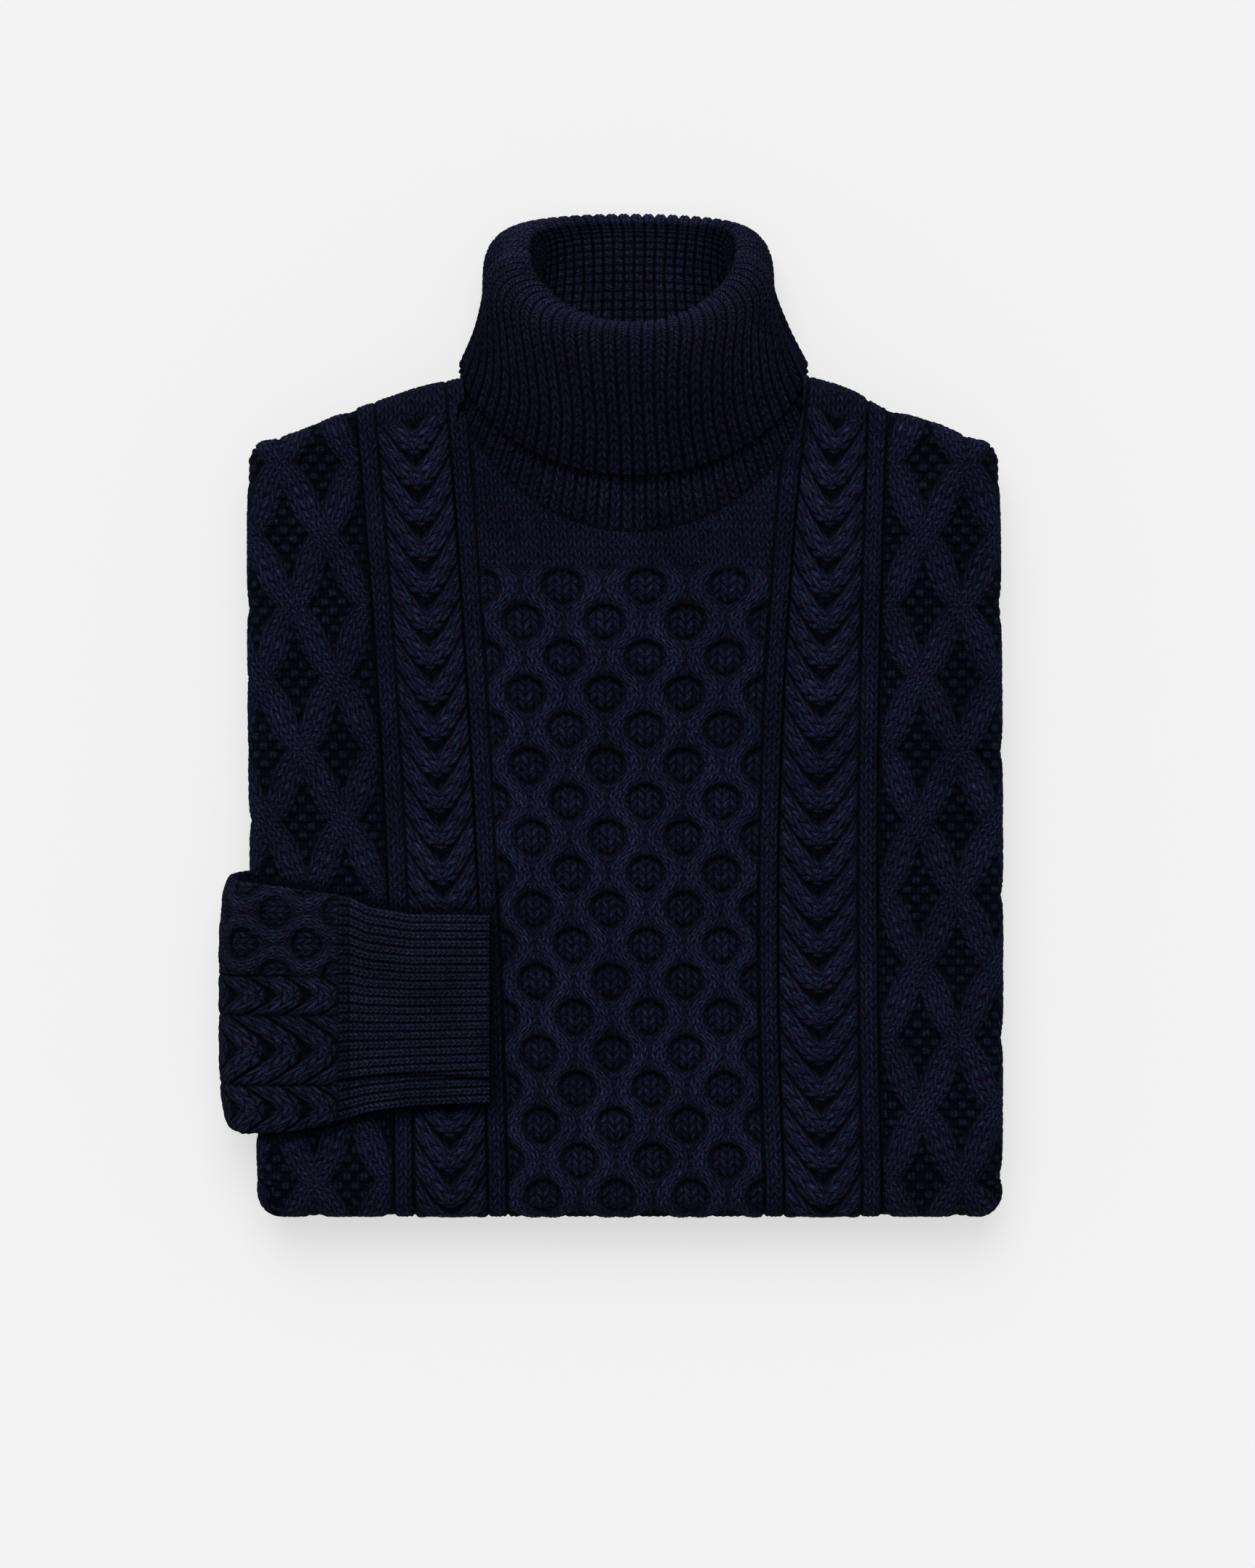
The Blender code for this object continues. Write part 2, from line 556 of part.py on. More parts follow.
def sleeve_relief(along, y, sign, i):
    """The sleeve's cables: cells by its upper edge, a rib and a braid that points to the cuff."""
    if sign < 0 or along > CUFF_END_X - WRAP_X + SLEEVE_RELIEF_TURN * WRAP_LENGTH:
        return 0.0
    if y > SLEEVE_CELLS_END:
        sway = math.tanh(SWAY_SHARPNESS * math.cos(math.pi * (along - SLEEVE_CELL_AT) / REPEAT))
        cell = (y - SLEEVE_CELL_Y) / SLEEVE_CELL_WIDTH
        offset = abs(cell - round(cell)) - 0.25 - SLEEVE_CELL_SWAY * sway
        return SLEEVE_RELIEF * float(dome(offset / SLEEVE_CELL_RIBBON))
    if y > SLEEVE_RIDGE_END:
        return SLEEVE_RELIEF * SLEEVE_RIDGE_SHARE if y > SLEEVE_RIDGE_TOP else 0.0
    if y > SLEEVE_BRAID_Y - SLEEVE_BRAID_HALF:
        out = abs(y - SLEEVE_BRAID_Y) / SLEEVE_BRAID_HALF
        turn = (along - SLEEVE_BRAID_LEAN * out) / REPEAT
        part = turn - math.floor(turn)
        return SLEEVE_RELIEF * float(dome((part - 0.5) / SLEEVE_BRAID_RIBBON)) * float(dome(out))
    return SLEEVE_RELIEF * SLEEVE_PLAIN_SHARE


def make_tube(name, outer_at, inner_at, counts, shape, material, collection):
    """A stretch of the flattened tube, open at both ends."""
    surface = Surface()
    tops, bases, insides = counts
    outer = [surface.add(sleeve_ring(at, tops, bases, (0, 0, 0), shape)) for at in outer_at]
    inset = (SLEEVE_WALL + SLEEVE_INSIDE_TOP, SLEEVE_WALL + SLEEVE_INSIDE_BOTTOM, SLEEVE_WALL)
    inner = [surface.add(sleeve_ring(at, insides, insides, inset, None)) for at in inner_at]
    for loops in (outer, inner):
        for one, other in zip(loops, loops[1:]):
            surface.zip_loops(one, other)
    for end in (0, -1):
        surface.zip_loops(outer[end], inner[end])
    return surface.build(name, material, collection)


def make_cuff(material, collection):
    """The ribbed cuff."""
    outer_at = (*CUFF_OUTER, CUFF_LENGTH - CUFF_SEAM)
    inner_at = (*CUFF_INNER, CUFF_LENGTH - CUFF_SEAM)
    counts = (2 * CUFF_RIBS, 2 * CUFF_RIBS, 12)
    return make_tube("cuff", outer_at, inner_at, counts, cuff_relief, material, collection)


def make_sleeve(material, collection):
    """The cabled sleeve, from the cuff's seam round the left fold to the surface below."""
    start = CUFF_LENGTH + CUFF_SEAM
    outer_at = np.linspace(start, SLEEVE_END, 17)
    inner_at = np.linspace(start, SLEEVE_END, 9)
    return make_tube("sleeve", outer_at, inner_at, (20, 8, 8), sleeve_relief, material, collection)


def layer_outline(z, out, notch, tuck):
    """A closed outline at the height z, out from the fold lines.

    notch is how far it stays below the shoulders, with a bay for the neck, or None with no bay,
    and tuck how far it is drawn in beside the sleeve.
    """
    inward = -min(out, 0.0)
    sides = np.linspace(BOTTOM_FOLD + LAYER_CORNER + inward, LAYER_SIDE_TOP[notch is not None],
                        LAYER_SIDE_PLACES)
    points = []
    for y in sides:
        x = float(column_x("left fold", y)) + FOLD_INSET - out
        window = float(blend(y, *LAYER_TUCK_BOTTOM) * (1.0 - blend(y, *LAYER_TUCK_TOP)))
        points.append((x + tuck * window, y))
    inset = LAYER_UPPER_INSET + inward if notch is not None else 0.0
    for x in np.linspace(LAYER_LEFT + inset, LAYER_RIGHT - inset, LAYER_PLACES):
        y = float(shoulder_y(x)) - FOLD_INSET + min(out, LAYER_SHOULDER_OUT)
        if notch is not None:
            y = min(y, float(shoulder_y(x)) - notch)
            dip = float(blend(x, *BAY_LEFT) * (1.0 - blend(x, *BAY_RIGHT)))
            y = y + (NECK_BAY - y) * dip
        points.append((x, y))
    for y in reversed(sides):
        points.append((float(column_x("right fold", y)) - FOLD_INSET + out, y))
    rise = z - (TOP_HEIGHT - BOTTOM_RADIUS)
    radius = BOTTOM_RADIUS - LAYER_CLEAR
    reach = math.sqrt(max(radius**2 - rise**2, 0.0)) if z > LAYER_LIP else -LAYER_LIP_INSET
    for x in LAYER_BOTTOM_X:
        points.append((x, BOTTOM_FOLD - reach + inward))
    return points


def make_folded_layers(material, collection):
    """What the fold hides, as one rounded solid: layers at its edges and a flat underside."""
    surface = Surface()
    split = TOP_HEIGHT - 2 * SIDE_RADIUS - WALL - GAP
    over_back = TOP_HEIGHT - 2 * SIDE_RADIUS + GAP
    loops = []
    for z, out, tuck in (*LAYER_EDGES, (split, LAYER_SPLIT_OUT[0], LAYER_SPLIT_TUCK)):
        loops.append(surface.add([(x, y, z) for x, y in layer_outline(z, out, None, tuck)]))
    upper = (
        (split, LAYER_SPLIT_OUT[1], BELOW_BACK),
        (over_back, LAYER_UPPER_OUT, BELOW_BACK),
        (over_back, LAYER_UPPER_OUT, ABOVE_BACK),
        (LAYER_RIM_Z, LAYER_RIM_OUT, ABOVE_BACK),
    )
    for z, out, notch in upper:
        loops.append(surface.add([(x, y, z) for x, y in layer_outline(z, out, notch, 0.0)]))
    rim = np.array(layer_outline(TOP_HEIGHT, LAYER_TOP_OUT, ABOVE_BACK, 0.0))
    middle = np.array(LAYER_MIDDLE)
    for scale in LAYER_TOP_SCALES:
        ring = middle + (rim - middle) * scale
        drop = LAYER_RIM_DROP if scale == 1.0 else LAYER_TOP_DROP
        top = TOP_HEIGHT + crown(ring[:, 0], ring[:, 1]) - GAP - drop
        loops.append(surface.add(np.column_stack([ring, top])))
    for one, other in zip(loops, loops[1:]):
        surface.zip_loops(one, other)
    base = surface.add([LAYER_BASE])[0]
    peak = surface.add([(*middle, TOP_HEIGHT + float(crown(*middle)) - GAP - LAYER_TOP_DROP)])[0]
    for loop, hub in ((loops[0], base), (loops[-1], peak)):
        surface.faces += [(a, b, hub) for a, b in zip(loop, loop[1:] + loop[:1])]
    return surface.build("folded_layers", material, collection)


def wool(name, colour):
    """Matt navy wool."""
    material = bpy.data.materials.new(name)
    material.use_nodes = True
    shader = material.node_tree.nodes["Principled BSDF"]
    shader.inputs["Base Color"].default_value = (*colour, 1.0)
    shader.inputs["Roughness"].default_value = 0.92
    shader.inputs["Metallic"].default_value = 0.0
    return material


def main():
    for item in list(bpy.data.objects):
        bpy.data.objects.remove(item)
    collection = bpy.data.collections.new("aran_turtleneck_sweater")
    bpy.context.scene.collection.children.link(collection)
    make_front(wool("front wool", (0.010, 0.013, 0.030)), collection)
    make_back(wool("back wool", (0.009, 0.012, 0.028)), collection)
    make_collar(wool("collar wool", (0.008, 0.010, 0.025)), collection)
    make_sleeve(wool("sleeve wool", (0.010, 0.013, 0.031)), collection)
    make_cuff(wool("cuff wool", (0.011, 0.014, 0.032)), collection)
    make_folded_layers(wool("folded wool", (0.009, 0.012, 0.027)), collection)


main()
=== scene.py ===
"""The looks of the folded aran sweater: knitted cloth in navy wool on a pale table.

Sizes are in millimetres until a mesh is made. X runs across the chest, Y up to the collar and Z up
from the table. A wale is one column of stitches and a course is one row of them.
"""

import math

import bpy
import numpy as np
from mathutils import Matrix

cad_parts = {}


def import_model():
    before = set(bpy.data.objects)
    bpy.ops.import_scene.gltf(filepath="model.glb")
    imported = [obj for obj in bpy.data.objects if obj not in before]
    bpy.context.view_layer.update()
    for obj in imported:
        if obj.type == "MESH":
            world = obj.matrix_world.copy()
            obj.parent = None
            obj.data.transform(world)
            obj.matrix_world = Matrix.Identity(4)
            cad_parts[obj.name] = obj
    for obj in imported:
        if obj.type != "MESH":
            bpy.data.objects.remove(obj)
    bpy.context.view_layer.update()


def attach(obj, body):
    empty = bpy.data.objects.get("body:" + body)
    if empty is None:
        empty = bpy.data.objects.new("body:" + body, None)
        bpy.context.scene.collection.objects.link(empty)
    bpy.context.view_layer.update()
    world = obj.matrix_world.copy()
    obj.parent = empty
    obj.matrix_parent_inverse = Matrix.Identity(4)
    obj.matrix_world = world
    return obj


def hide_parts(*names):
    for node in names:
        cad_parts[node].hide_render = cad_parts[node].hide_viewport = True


MM = 0.001

# The photograph's frame: 2156 pixels high at 0.4 mm each, looking straight down
FRAME_HEIGHT = 862.4
FRAME_CENTRE = (8.4, -38.0)
FOCUS_HEIGHT = 30.0
LENS, SENSOR = 120.0, 36.0

# The front's wall, the soft rolls at its folded edges and the height that it lies at
WALL = 3.0
TOP_HEIGHT = 36.0
CROWN = 4.0
CROWN_CENTRE = (7.0, -50.0)
CROWN_HALF = (195.0, 205.0)
SIDE_RADIUS = 7.5
BOTTOM_RADIUS = 16.5
FOLD_INSET = 13.0
BOTTOM_FOLD = -255.0

# Where each knitted column runs: x at three heights of the front
COLUMN_HEIGHTS = (128.0, -7.0, -248.0)
COLUMNS = {
    "left fold": (-201.0, -200.5, -195.5),
    "left outer rib": (-131.8, -121.8, -114.2),
    "left inner rib": (-81.8, -72.8, -63.0),
    "right inner rib": (97.0, 87.8, 88.6),
    "right outer rib": (144.0, 140.6, 142.2),
    "right fold": (213.5, 214.8, 214.8),
}

# The shoulders' outline from side to side: x and y
SHOULDERS = (
    (-201.0, 143.0), (-190.0, 151.0), (-174.0, 156.0), (-152.0, 165.0), (-109.0, 180.0), (-84.0, 187.0),
    (107.0, 189.0), (134.0, 178.0), (147.0, 170.0), (178.0, 161.0), (202.0, 151.0), (214.0, 141.0),
)

# One stitch, and the length after which each cable crosses again
STITCH, COURSE, REPEAT = 4.8, 4.92, 19.68
STITCH_HEIGHT, PURL_HEIGHT, MOSS_HEIGHT, PLAIN_HEIGHT = 0.85, 0.8, 2.7, 1.7
LEG_RISE, LEG_PINCH, YARN_PINCH = 0.95, 0.75, 0.7
PURL_NARROW, MOSS_BUMP_WIDTH, MOSS_BUMP_LENGTH = 0.975, 0.62, 0.55

# The upright ribs and the purl gutters beside them
RIB_HEIGHT, RIB_HALF, RIB_SQUARE, GUTTER, GUTTER_DEPTH = 2.0, 4.9, 0.7, 6.0, 1.2

# A braid: its ribbons' height, fall and bend, how they widen from the middle and where their ends round off
BRAID_HEIGHT, BRAID_DROP, BRAID_START, BRAID_DEPTH = 3.2, 28.0, 117.2, 1.5
BRAID_BEND, BRAID_LAG, BRAID_STRANDS, BRAID_FLOOR_WALES = 1.2, 0.06, 0.85, 2.0
BRAID_THIN, BRAID_WIDEN, BRAID_WIDENS_OVER = 0.36, 0.125, (0.05, 0.45)
BRAID_END, BRAID_END_ROUND, BRAID_POINT, BRAID_POINT_FILL = 0.78, 0.26, 3.0, 0.6
BRAID_OVER_GUTTER, BRAID_TOP = 1.0, (14.0, 24.0)

# The honeycomb: its ribbons and the hollow cells between them, in shares of the panel's repeat
CELL_HEIGHT, CELL_ROUND, CELL_START, CELL_TOP = 2.1, 1.7, 70.0, 80.0
CELL_FIRST, CELL_PERIOD, CELL_SWAY, CELL_RIBBON, CELL_BULGE = 0.297, 0.2675, 0.122, 0.114, -0.12
CELL_HALF_WIDTH, CELL_HALF_LENGTH, CELL_DEEP, CELL_FLOOR = 0.266, 0.26, 3.6, 1.7
CELL_SIDE_DARK, CELL_TOP_DARK, CELL_POINT_DARK, CELL_TAPER = 0.32, 0.78, 0.5, 0.3
CELL_HOLLOW, CELL_WALL, CELL_RIM, CELL_WALES, RIBBON_REACH = (0.45, 0.9), (0.86, 1.06), 0.95, 5.0, 1.05
CELL_START_SOFT = 4.0

# The lattice: ribbons three stitches wide, and the moss stitch between them
LATTICE_HEIGHT, LATTICE_START, LATTICE_FIRST, LATTICE_STEP = 2.5, 98.4, 7.0, 21.0
LATTICE_RIBBON, LATTICE_BEND, LATTICE_STITCHES, LATTICE_ROUND, MOSS_DEPTH = 0.42, 0.07, 3.0, 0.8, 0.5
LATTICE_FADE = (-1.0, 3.0)

# How flat the sleeve presses the cables below it, how far round it, and how they fade round a fold
PRESS, PRESS_REACH = 0.85, 8.0
FOLD_HEIGHT, FOLD_FADE, FOLD_FADE_ANGLES, CREASE_FADE_ANGLE = 1.5, 0.7, (25.0, 85.0), 40.0

# The neckline, as the lower half of a rounded loop
NECK_X, NECK_HALF, NECK_FRONT, NECK_SIDE, NECK_POWER = 11.8, 94.6, 99.0, 173.0, 1.25
NECK_SEAM, NECK_SEAM_TURN, NECK_OVER = (-85.6, 109.2), 4.6, 0.8

# The panels' seams, where they leave the gutters and pass beside the neck, and how a panel's rows are laid
SEAM_OVER, SEAM_LEAVES, SEAM_TURNS = 0.6, (130.0, 156.0), (168.5, 173.0)
PANEL_TOP, PANEL_REACH, NECK_GUESS, NECK_ROUNDS = 150.0, 170.0, 120.0, 12
FOLD_TURN, SIDE_ROLL, BOTTOM_ROLL, BOTTOM_ROLL_STEP = 150.0, 27.0, 52.0, 1.4
SHOULDER_TURN, SHOULDER_ROLL = 100.0, 18.0

# Each seam or side fold: the column it follows, how far right of it, its x at the neck and its turn there
SEAMS = {
    "left fold": ("left fold", FOLD_INSET, None, 0.0),
    "outer left seam": ("left outer rib", SEAM_OVER - GUTTER, None, 0.0),
    "left seam": ("left inner rib", SEAM_OVER - GUTTER, NECK_SEAM[0], NECK_SEAM_TURN),
    "right seam": ("right inner rib", GUTTER - SEAM_OVER, NECK_SEAM[1], -NECK_SEAM_TURN),
    "outer right seam": ("right outer rib", GUTTER - SEAM_OVER, None, 0.0),
    "right fold": ("right fold", -FOLD_INSET, None, 0.0),
}

# The front's panels: name, left and right seam, width, rolled sides, whether at the neck, flat size in m
PANELS = (
    ("left_lattice_panel", "left fold", "outer left seam", 66.0, (True, False), False, (0.115, 0.50)),
    ("left_braid_panel", "outer left seam", "left seam", 50.0, (False, False), False, (0.060, 0.50)),
    ("honeycomb_panel", "left seam", "right seam", 170.0, (False, False), True, (0.17, 0.42)),
    ("right_braid_panel", "right seam", "outer right seam", 50.0, (False, False), False, (0.060, 0.50)),
    ("right_lattice_panel", "outer right seam", "right fold", 55.0, (False, True), False, (0.105, 0.50)),
)

# Creases of the front: middle x and y, half width, half length, lean from upright, height
CREASES = (
    (-150.0, 60.0, 30.0, 70.0, 12.0, 0.9),
    (-96.0, -40.0, 18.0, 90.0, -4.0, -0.8),
    (8.0, 52.0, 80.0, 14.0, 0.0, -1.0),
    (60.0, -120.0, 26.0, 80.0, 8.0, 0.9),
    (116.0, 20.0, 16.0, 110.0, 2.0, -0.7),
    (176.0, -60.0, 22.0, 60.0, -6.0, 1.0),
    (190.0, 96.0, 20.0, 34.0, 25.0, -1.2),
    (-20.0, -200.0, 60.0, 20.0, 10.0, -0.9),
    (150.0, -200.0, 40.0, 26.0, -18.0, 0.8),
)

# The collar's middle surface, from its hem over the crest to the neckline seam
COLLAR_FIELDS = ("x", "half", "y_front", "y_side", "y_back", "z_front", "z_side", "z_back", "crowd")
COLLAR_RINGS = (
    (11.8, 94.0, 130.5, 188.0, 203.0, 46.4, 24.0, 2.2, 0.0),
    (10.8, 85.0, 155.0, 205.0, 225.0, 47.6, 23.0, 2.2, 0.0),
    (9.2, 78.5, 183.0, 223.0, 250.0, 48.0, 22.0, 2.2, 0.3),
    (8.8, 77.0, 203.0, 240.0, 269.0, 47.8, 23.0, 3.4, 0.6),
    (9.2, 70.0, 211.0, 250.0, 275.0, 46.2, 27.0, 7.0, 0.8),
    (11.0, 59.5, 211.8, 252.5, 273.5, 43.4, 30.0, 10.8, 1.0),
    (12.2, 53.0, 205.0, 243.0, 265.0, 42.0, 27.0, 10.2, 1.0),
    (12.0, 57.0, 185.0, 222.0, 245.0, 42.2, 24.0, 9.0, 0.6),
    (12.0, 70.0, 155.0, 203.0, 220.0, 42.2, 25.0, 9.5, 0.3),
    (11.8, 84.0, 125.0, 184.0, 203.0, 41.4, 28.0, 16.0, 0.0),
    (11.8, 93.6, 99.8, 171.5, 189.5, 40.3, 31.0, 23.8, 0.0),
)
COLLAR_WALL, COLLAR_RIBS, COLLAR_RIB_HEIGHT, COLLAR_COURSE = 3.2, 66, 1.5, 3.7
COLLAR_LENGTH, COLLAR_PLACES, RIB_SHARE, COLLAR_SUNK = 185.0, 6, 0.86, 0.9
COLLAR_FINE_END, HIDDEN_FINE_END, HIDDEN_END = 0.88, 0.82, 0.03
COLLAR_LAST_ROWS, HIDDEN_FINE_ROWS, HIDDEN_ROWS = 6, 30, 18
COLLAR_STITCH, INSIDE_STITCH, INSIDE_RIB = 0.9, 1.6, 1.2
HIDDEN_FLAT, HIDDEN_FULL, HIDDEN_FULL_REACH = 0.3, 0.9, 0.08

# How light the collar is, all painted: a painted highlight on its crest, painted light inside with painted
# shade at its sides, painted shade toward its hem, and ribs painted lighter than their grooves
CREST_PART, CREST_LIGHT, COLLAR_INSIDE_SHADE, COLLAR_HEM_SHADE = 0.52, 3.4, 3.4, -1.3
CREST_LIT, CREST_WIDE, COLLAR_SIDES_DARK, HEM_PARTS = 0.45, 0.12, 3.4, (-0.42, -0.05)
COLLAR_RIB_LIT, COLLAR_GROOVE_DARK = 3.2, 0.6
RING_POWER_FRONT, RING_POWER_BACK, RING_POWER_Z = 1.25, 0.38, 0.55

# The sleeve and its cuff as one flattened tube: distance from the cuff's open end, y of both edges
SLEEVE_ROWS = (
    (0.0, -109.6, -211.6),
    (43.0, -109.2, -213.6),
    (66.0, -105.0, -216.8),
    (76.0, -99.8, -220.0),
    (95.0, -97.6, -225.0),
    (116.0, -94.4, -228.4),
    (140.0, -92.0, -229.0),
    (160.0, -88.0, -226.0),
    (186.0, -86.0, -222.0),
)
CUFF_END_X, CUFF_LENGTH = -67.0, 76.0
SLEEVE_THICKNESS, SLEEVE_WALL, SLEEVE_CLEAR = 13.0, 3.2, 1.4
WRAP_X, WRAP_Z, WRAP_SIDE, WRAP_TOP, WRAP_BASE = -188.0, 24.0, 14.4, 16.4, 10.6
WRAP_LENGTH = 23.5
SLEEVE_END = 184.0
CUFF_RIBS, CUFF_RIB_HEIGHT, CUFF_COURSE = 23, 1.3, 2.8
CREASE_Y, CREASE_BOW, CREASE_DEPTH, CREASE_HALF = -199.6, 2.6, 2.4, 1.5
CUFF_STITCH_HEIGHT, EDGE_BUMP, CUFF_SEAM = 1.5, 1.0, 0.04
SLEEVE_CELL_Y, SLEEVE_CELL_WIDTH, SLEEVE_CELL_X, SLEEVE_CELL_LENGTH = -108.4, 34.0, 116.5, 34.0

# Braids along the sleeve below its cells: middle y, half width, how far their ribbons fall
SLEEVE_BRAIDS = (
    (-153.4, 10.4, 15.0),
    (-183.4, 18.6, 25.0),
    (-215.6, 12.6, 17.0),
)
SLEEVE_CELL_SHARE, SLEEVE_CELL_SUNK, SLEEVE_BRAID_SHARE, SLEEVE_BRAID_SUNK = 0.8, 0.8, 0.75, 1.9
SLEEVE_FADE, SLEEVE_FADE_HEIGHT, SLEEVE_FADE_SHARE = (136.0, 154.0), 0.6, 0.8
CUFF_BLEND, CUFF_FROM, BRAID_OVERLAP, UNDER_STITCH = 14.0, 0.6, 0.6, 0.6
TUBE_INSET_TOP, TUBE_INSET_BOTTOM, TUBE_INSIDE_ROWS = 1.5, 16.0, 12
CUFF_PLACES, SLEEVE_PLACES, BASE_PLACES = 9 * CUFF_RIBS, 240, 60

# The hidden layers: their outline, how thick each is and how deep the grooves between them are
LAYER_SIDE_TOP, LAYER_CORNER, LAYER_TUCK = 118.0, 6.0, 13.0
LAYER_LEFT, LAYER_RIGHT, LAYER_BOTTOM_RIGHT, LAYER_BOTTOM_LEFT = -182.0, 196.0, 196.0, -177.0
LAYER_CLEAR, LAYER_LIP_INSET, LAYER_MIDDLE = 1.6, 8.0, (7.0, -60.0)
LAYER_THICKNESS, LAYER_OUT, LAYER_GROOVE, LAYER_HEIGHT = 4.4, 10.6, 4.2, 17.4
LAYER_PLACES, LAYER_ROWS, LAYER_LENGTH = 640, 36, 1500.0
LAYER_SIDE_POINTS, LAYER_END_POINTS, LAYER_SMOOTHINGS, LAYER_TOP_OUT = 24, 40, 3, 9.5
TUCK_STARTS, TUCK_ENDS, LIP_HEIGHTS = (-246.0, -236.0), (-80.0, -70.0), (4.0, 7.0)
# LAYER_LIT is the layers' even painted light level and HUB_SHADE the painted shade at their caps' middles
LAYER_LOWEST, LAYER_ROUND, LAYER_LIT, HUB_SHADE, LAYER_COURSES = 0.2, 0.7, 1.5, 0.3, 0.5
WAVE_SIZE, WAVE_LONG, WAVE_SHORT, WAVE_SHIFT = 0.0028, 5.0, 11.0, 1.3
CAP_SCALES, CAP_RISE = (0.985, 0.93, 0.8, 0.6, 0.35, 0.08), 0.3

# The back's edge: how far it reaches, and where its roll starts at the neck and how much sooner beside it
BACK_LEFT, BACK_RIGHT, BACK_LENGTH, BACK_STEP = -185.0, 200.0, 28.0, 1.6
BACK_NECK, BACK_TURN, BACK_SOONER = (96.0, 99.0), 150.0, 45.0
BACK_OUTSIDE_ROWS, BACK_INSIDE_ROWS, BACK_LENGTH_ROWS = 14, 6, 12

# Painted shade by depth: the height painted in full light, the depth painted down to black, the most
# painted light, the inner side's painted shade
LIT_HEIGHT, BLACK_DEPTH, MOST_LIGHT, INSIDE_SHADE = 3.2, 6.0, 1.5, 0.6

# How fine the meshes are
FRONT_GRID, MIDDLE_GRID, COLLAR_ALONG, INSIDE_GRID = 0.84, 0.9, 1.25, 8.0
SLEEVE_GRID, CUFF_GRID = 0.85, 0.56
LOWEST = 0.3

# Each wool: its name, its painted shade colour in the holes and its colour where the yarn is lit; all one
# navy yarn, each piece painted its own brightness for how light falls on it
WOOLS = (
    ("front wool", (0.0003, 0.0005, 0.0028), (0.0088, 0.0109, 0.0274)),
    ("collar wool", (0.0003, 0.0003, 0.0018), (0.0090, 0.0096, 0.0232)),
    ("sleeve wool", (0.0003, 0.0005, 0.0028), (0.0125, 0.0150, 0.0350)),
    ("cuff wool", (0.0005, 0.0007, 0.0036), (0.0205, 0.0236, 0.0540)),
    ("back wool", (0.0004, 0.0006, 0.0030), (0.0125, 0.0150, 0.0350)),
    ("folded wool", (0.0004, 0.0006, 0.0030), (0.0125, 0.0150, 0.0350)),
)

# Streaks of the plies in a stitch, across its legs and along them, and fibres in a metre
PLY_ACROSS, PLY_ALONG, FIBRE_SCALE, DYE_SCALE, HEATHER_SCALE = 7.0, 2.2, 900.0, 30.0, 420.0

# Each effect's factor and what is added: painted shade between legs, streaks of ply tone and painted
# highlight, flecks and dye of random tone; and how the painted light is spread
LEG_GAP_PAINTED_SHADE, STREAK_TONE_AND_HIGHLIGHT, FLECK_LIT, DYE_LIT = (1.05, 0.02), (1.7, 0.2), (2.3, 0.1), (0.4, 0.8)
PAINTED_LIGHT_POWER, SHADE_POWER, SHADE_GAIN = 1.35, 1.3, 1.25

# The two tints that fibres of one wool vary between, as factors of red, green and blue
WARM_TINT, COOL_TINT = (1.25, 0.82, 1.0), (0.82, 1.15, 1.04)


def blend(value, low, high):
    """From 0 at low to 1 at high, smoothly."""
    part = np.clip((value - low) / (high - low), 0.0, 1.0)
    return part * part * (3.0 - 2.0 * part)


def dome(offset):
    """A rounded ridge: 1 at offset 0 and 0 from offset 1 outward."""
    return np.sqrt(np.clip(1.0 - np.square(offset), 0.0, 1.0))


def soften(height):
    """Rounds the sharpest edges of a grid of heights."""
    for axis in (0, 1):
        near = np.concatenate([height.take([0], axis), height, height.take([-1], axis)], axis)
        count = height.shape[axis]
        before, after = near.take(range(count), axis), near.take(range(2, count + 2), axis)
        height = 0.25 * before + 0.5 * height + 0.25 * after
    return height


def fraction(value):
    """How far past a whole number."""
    return value - np.floor(value)


def knit_stitch(wale, course):
    """The two slanted legs of each knit stitch, from 0 in the gaps to 1 on the yarn."""
    side = 2.0 * np.abs(fraction(wale) - 0.5)
    leg = dome(2.0 * fraction(course - LEG_RISE * side) - 1.0)
    return leg * (1.0 - LEG_PINCH * np.abs(2.0 * side - 1.0) ** 3)


def purl_stitch(wale, course):
    """The low bumps of purl stitches, each course set half a stitch beside the last."""
    shifted = wale + 0.5 * (np.floor(course) % 2)
    return dome(2.0 * fraction(course) - 1.0) * dome(PURL_NARROW * (2.0 * fraction(shifted) - 1.0))


def moss_stitch(wale, course):
    """Moss stitch: a round bump on every other stitch, like a draughtboard."""
    odd = (np.floor(wale) + np.floor(course)) % 2
    across, along = fraction(wale) - 0.5, fraction(course) - 0.5
    return dome(np.hypot(across / MOSS_BUMP_WIDTH, along / MOSS_BUMP_LENGTH)) * (1.0 - odd)


def column_x(name, y):
    """The x of a knitted column at the height y, on one curve through its three places."""
    y = np.maximum(y, BOTTOM_FOLD)
    a, b, c = COLUMN_HEIGHTS
    at_a, at_b, at_c = COLUMNS[name]
    return (
        at_a * (y - b) * (y - c) / ((a - b) * (a - c))
        + at_b * (y - a) * (y - c) / ((b - a) * (b - c))
        + at_c * (y - a) * (y - b) / ((c - a) * (c - b))
    )


def crown(x, y):
    """How far the front rises above its edges."""
    across = np.clip((x - CROWN_CENTRE[0]) / CROWN_HALF[0], -1.0, 1.0)
    along = np.clip((y - CROWN_CENTRE[1]) / CROWN_HALF[1], -1.0, 1.0)
    return CROWN * (1.0 - across**4) * (1.0 - along**4)


def shoulder_y(x):
    """The outline of the shoulders."""
    table = np.array(SHOULDERS)
    return np.interp(x, table[:, 0], table[:, 1])


def neckline_y(x):
    """The front's neckline, or far above it beside the neck."""
    across = (np.asarray(x, float) - NECK_X) / NECK_HALF
    depth = np.clip(1.0 - np.square(across), 0.0, 1.0) ** (NECK_POWER / 2)
    inside = NECK_SIDE - (NECK_SIDE - NECK_FRONT) * depth
    return np.where(np.abs(across) < 1.0, inside, 1000.0)


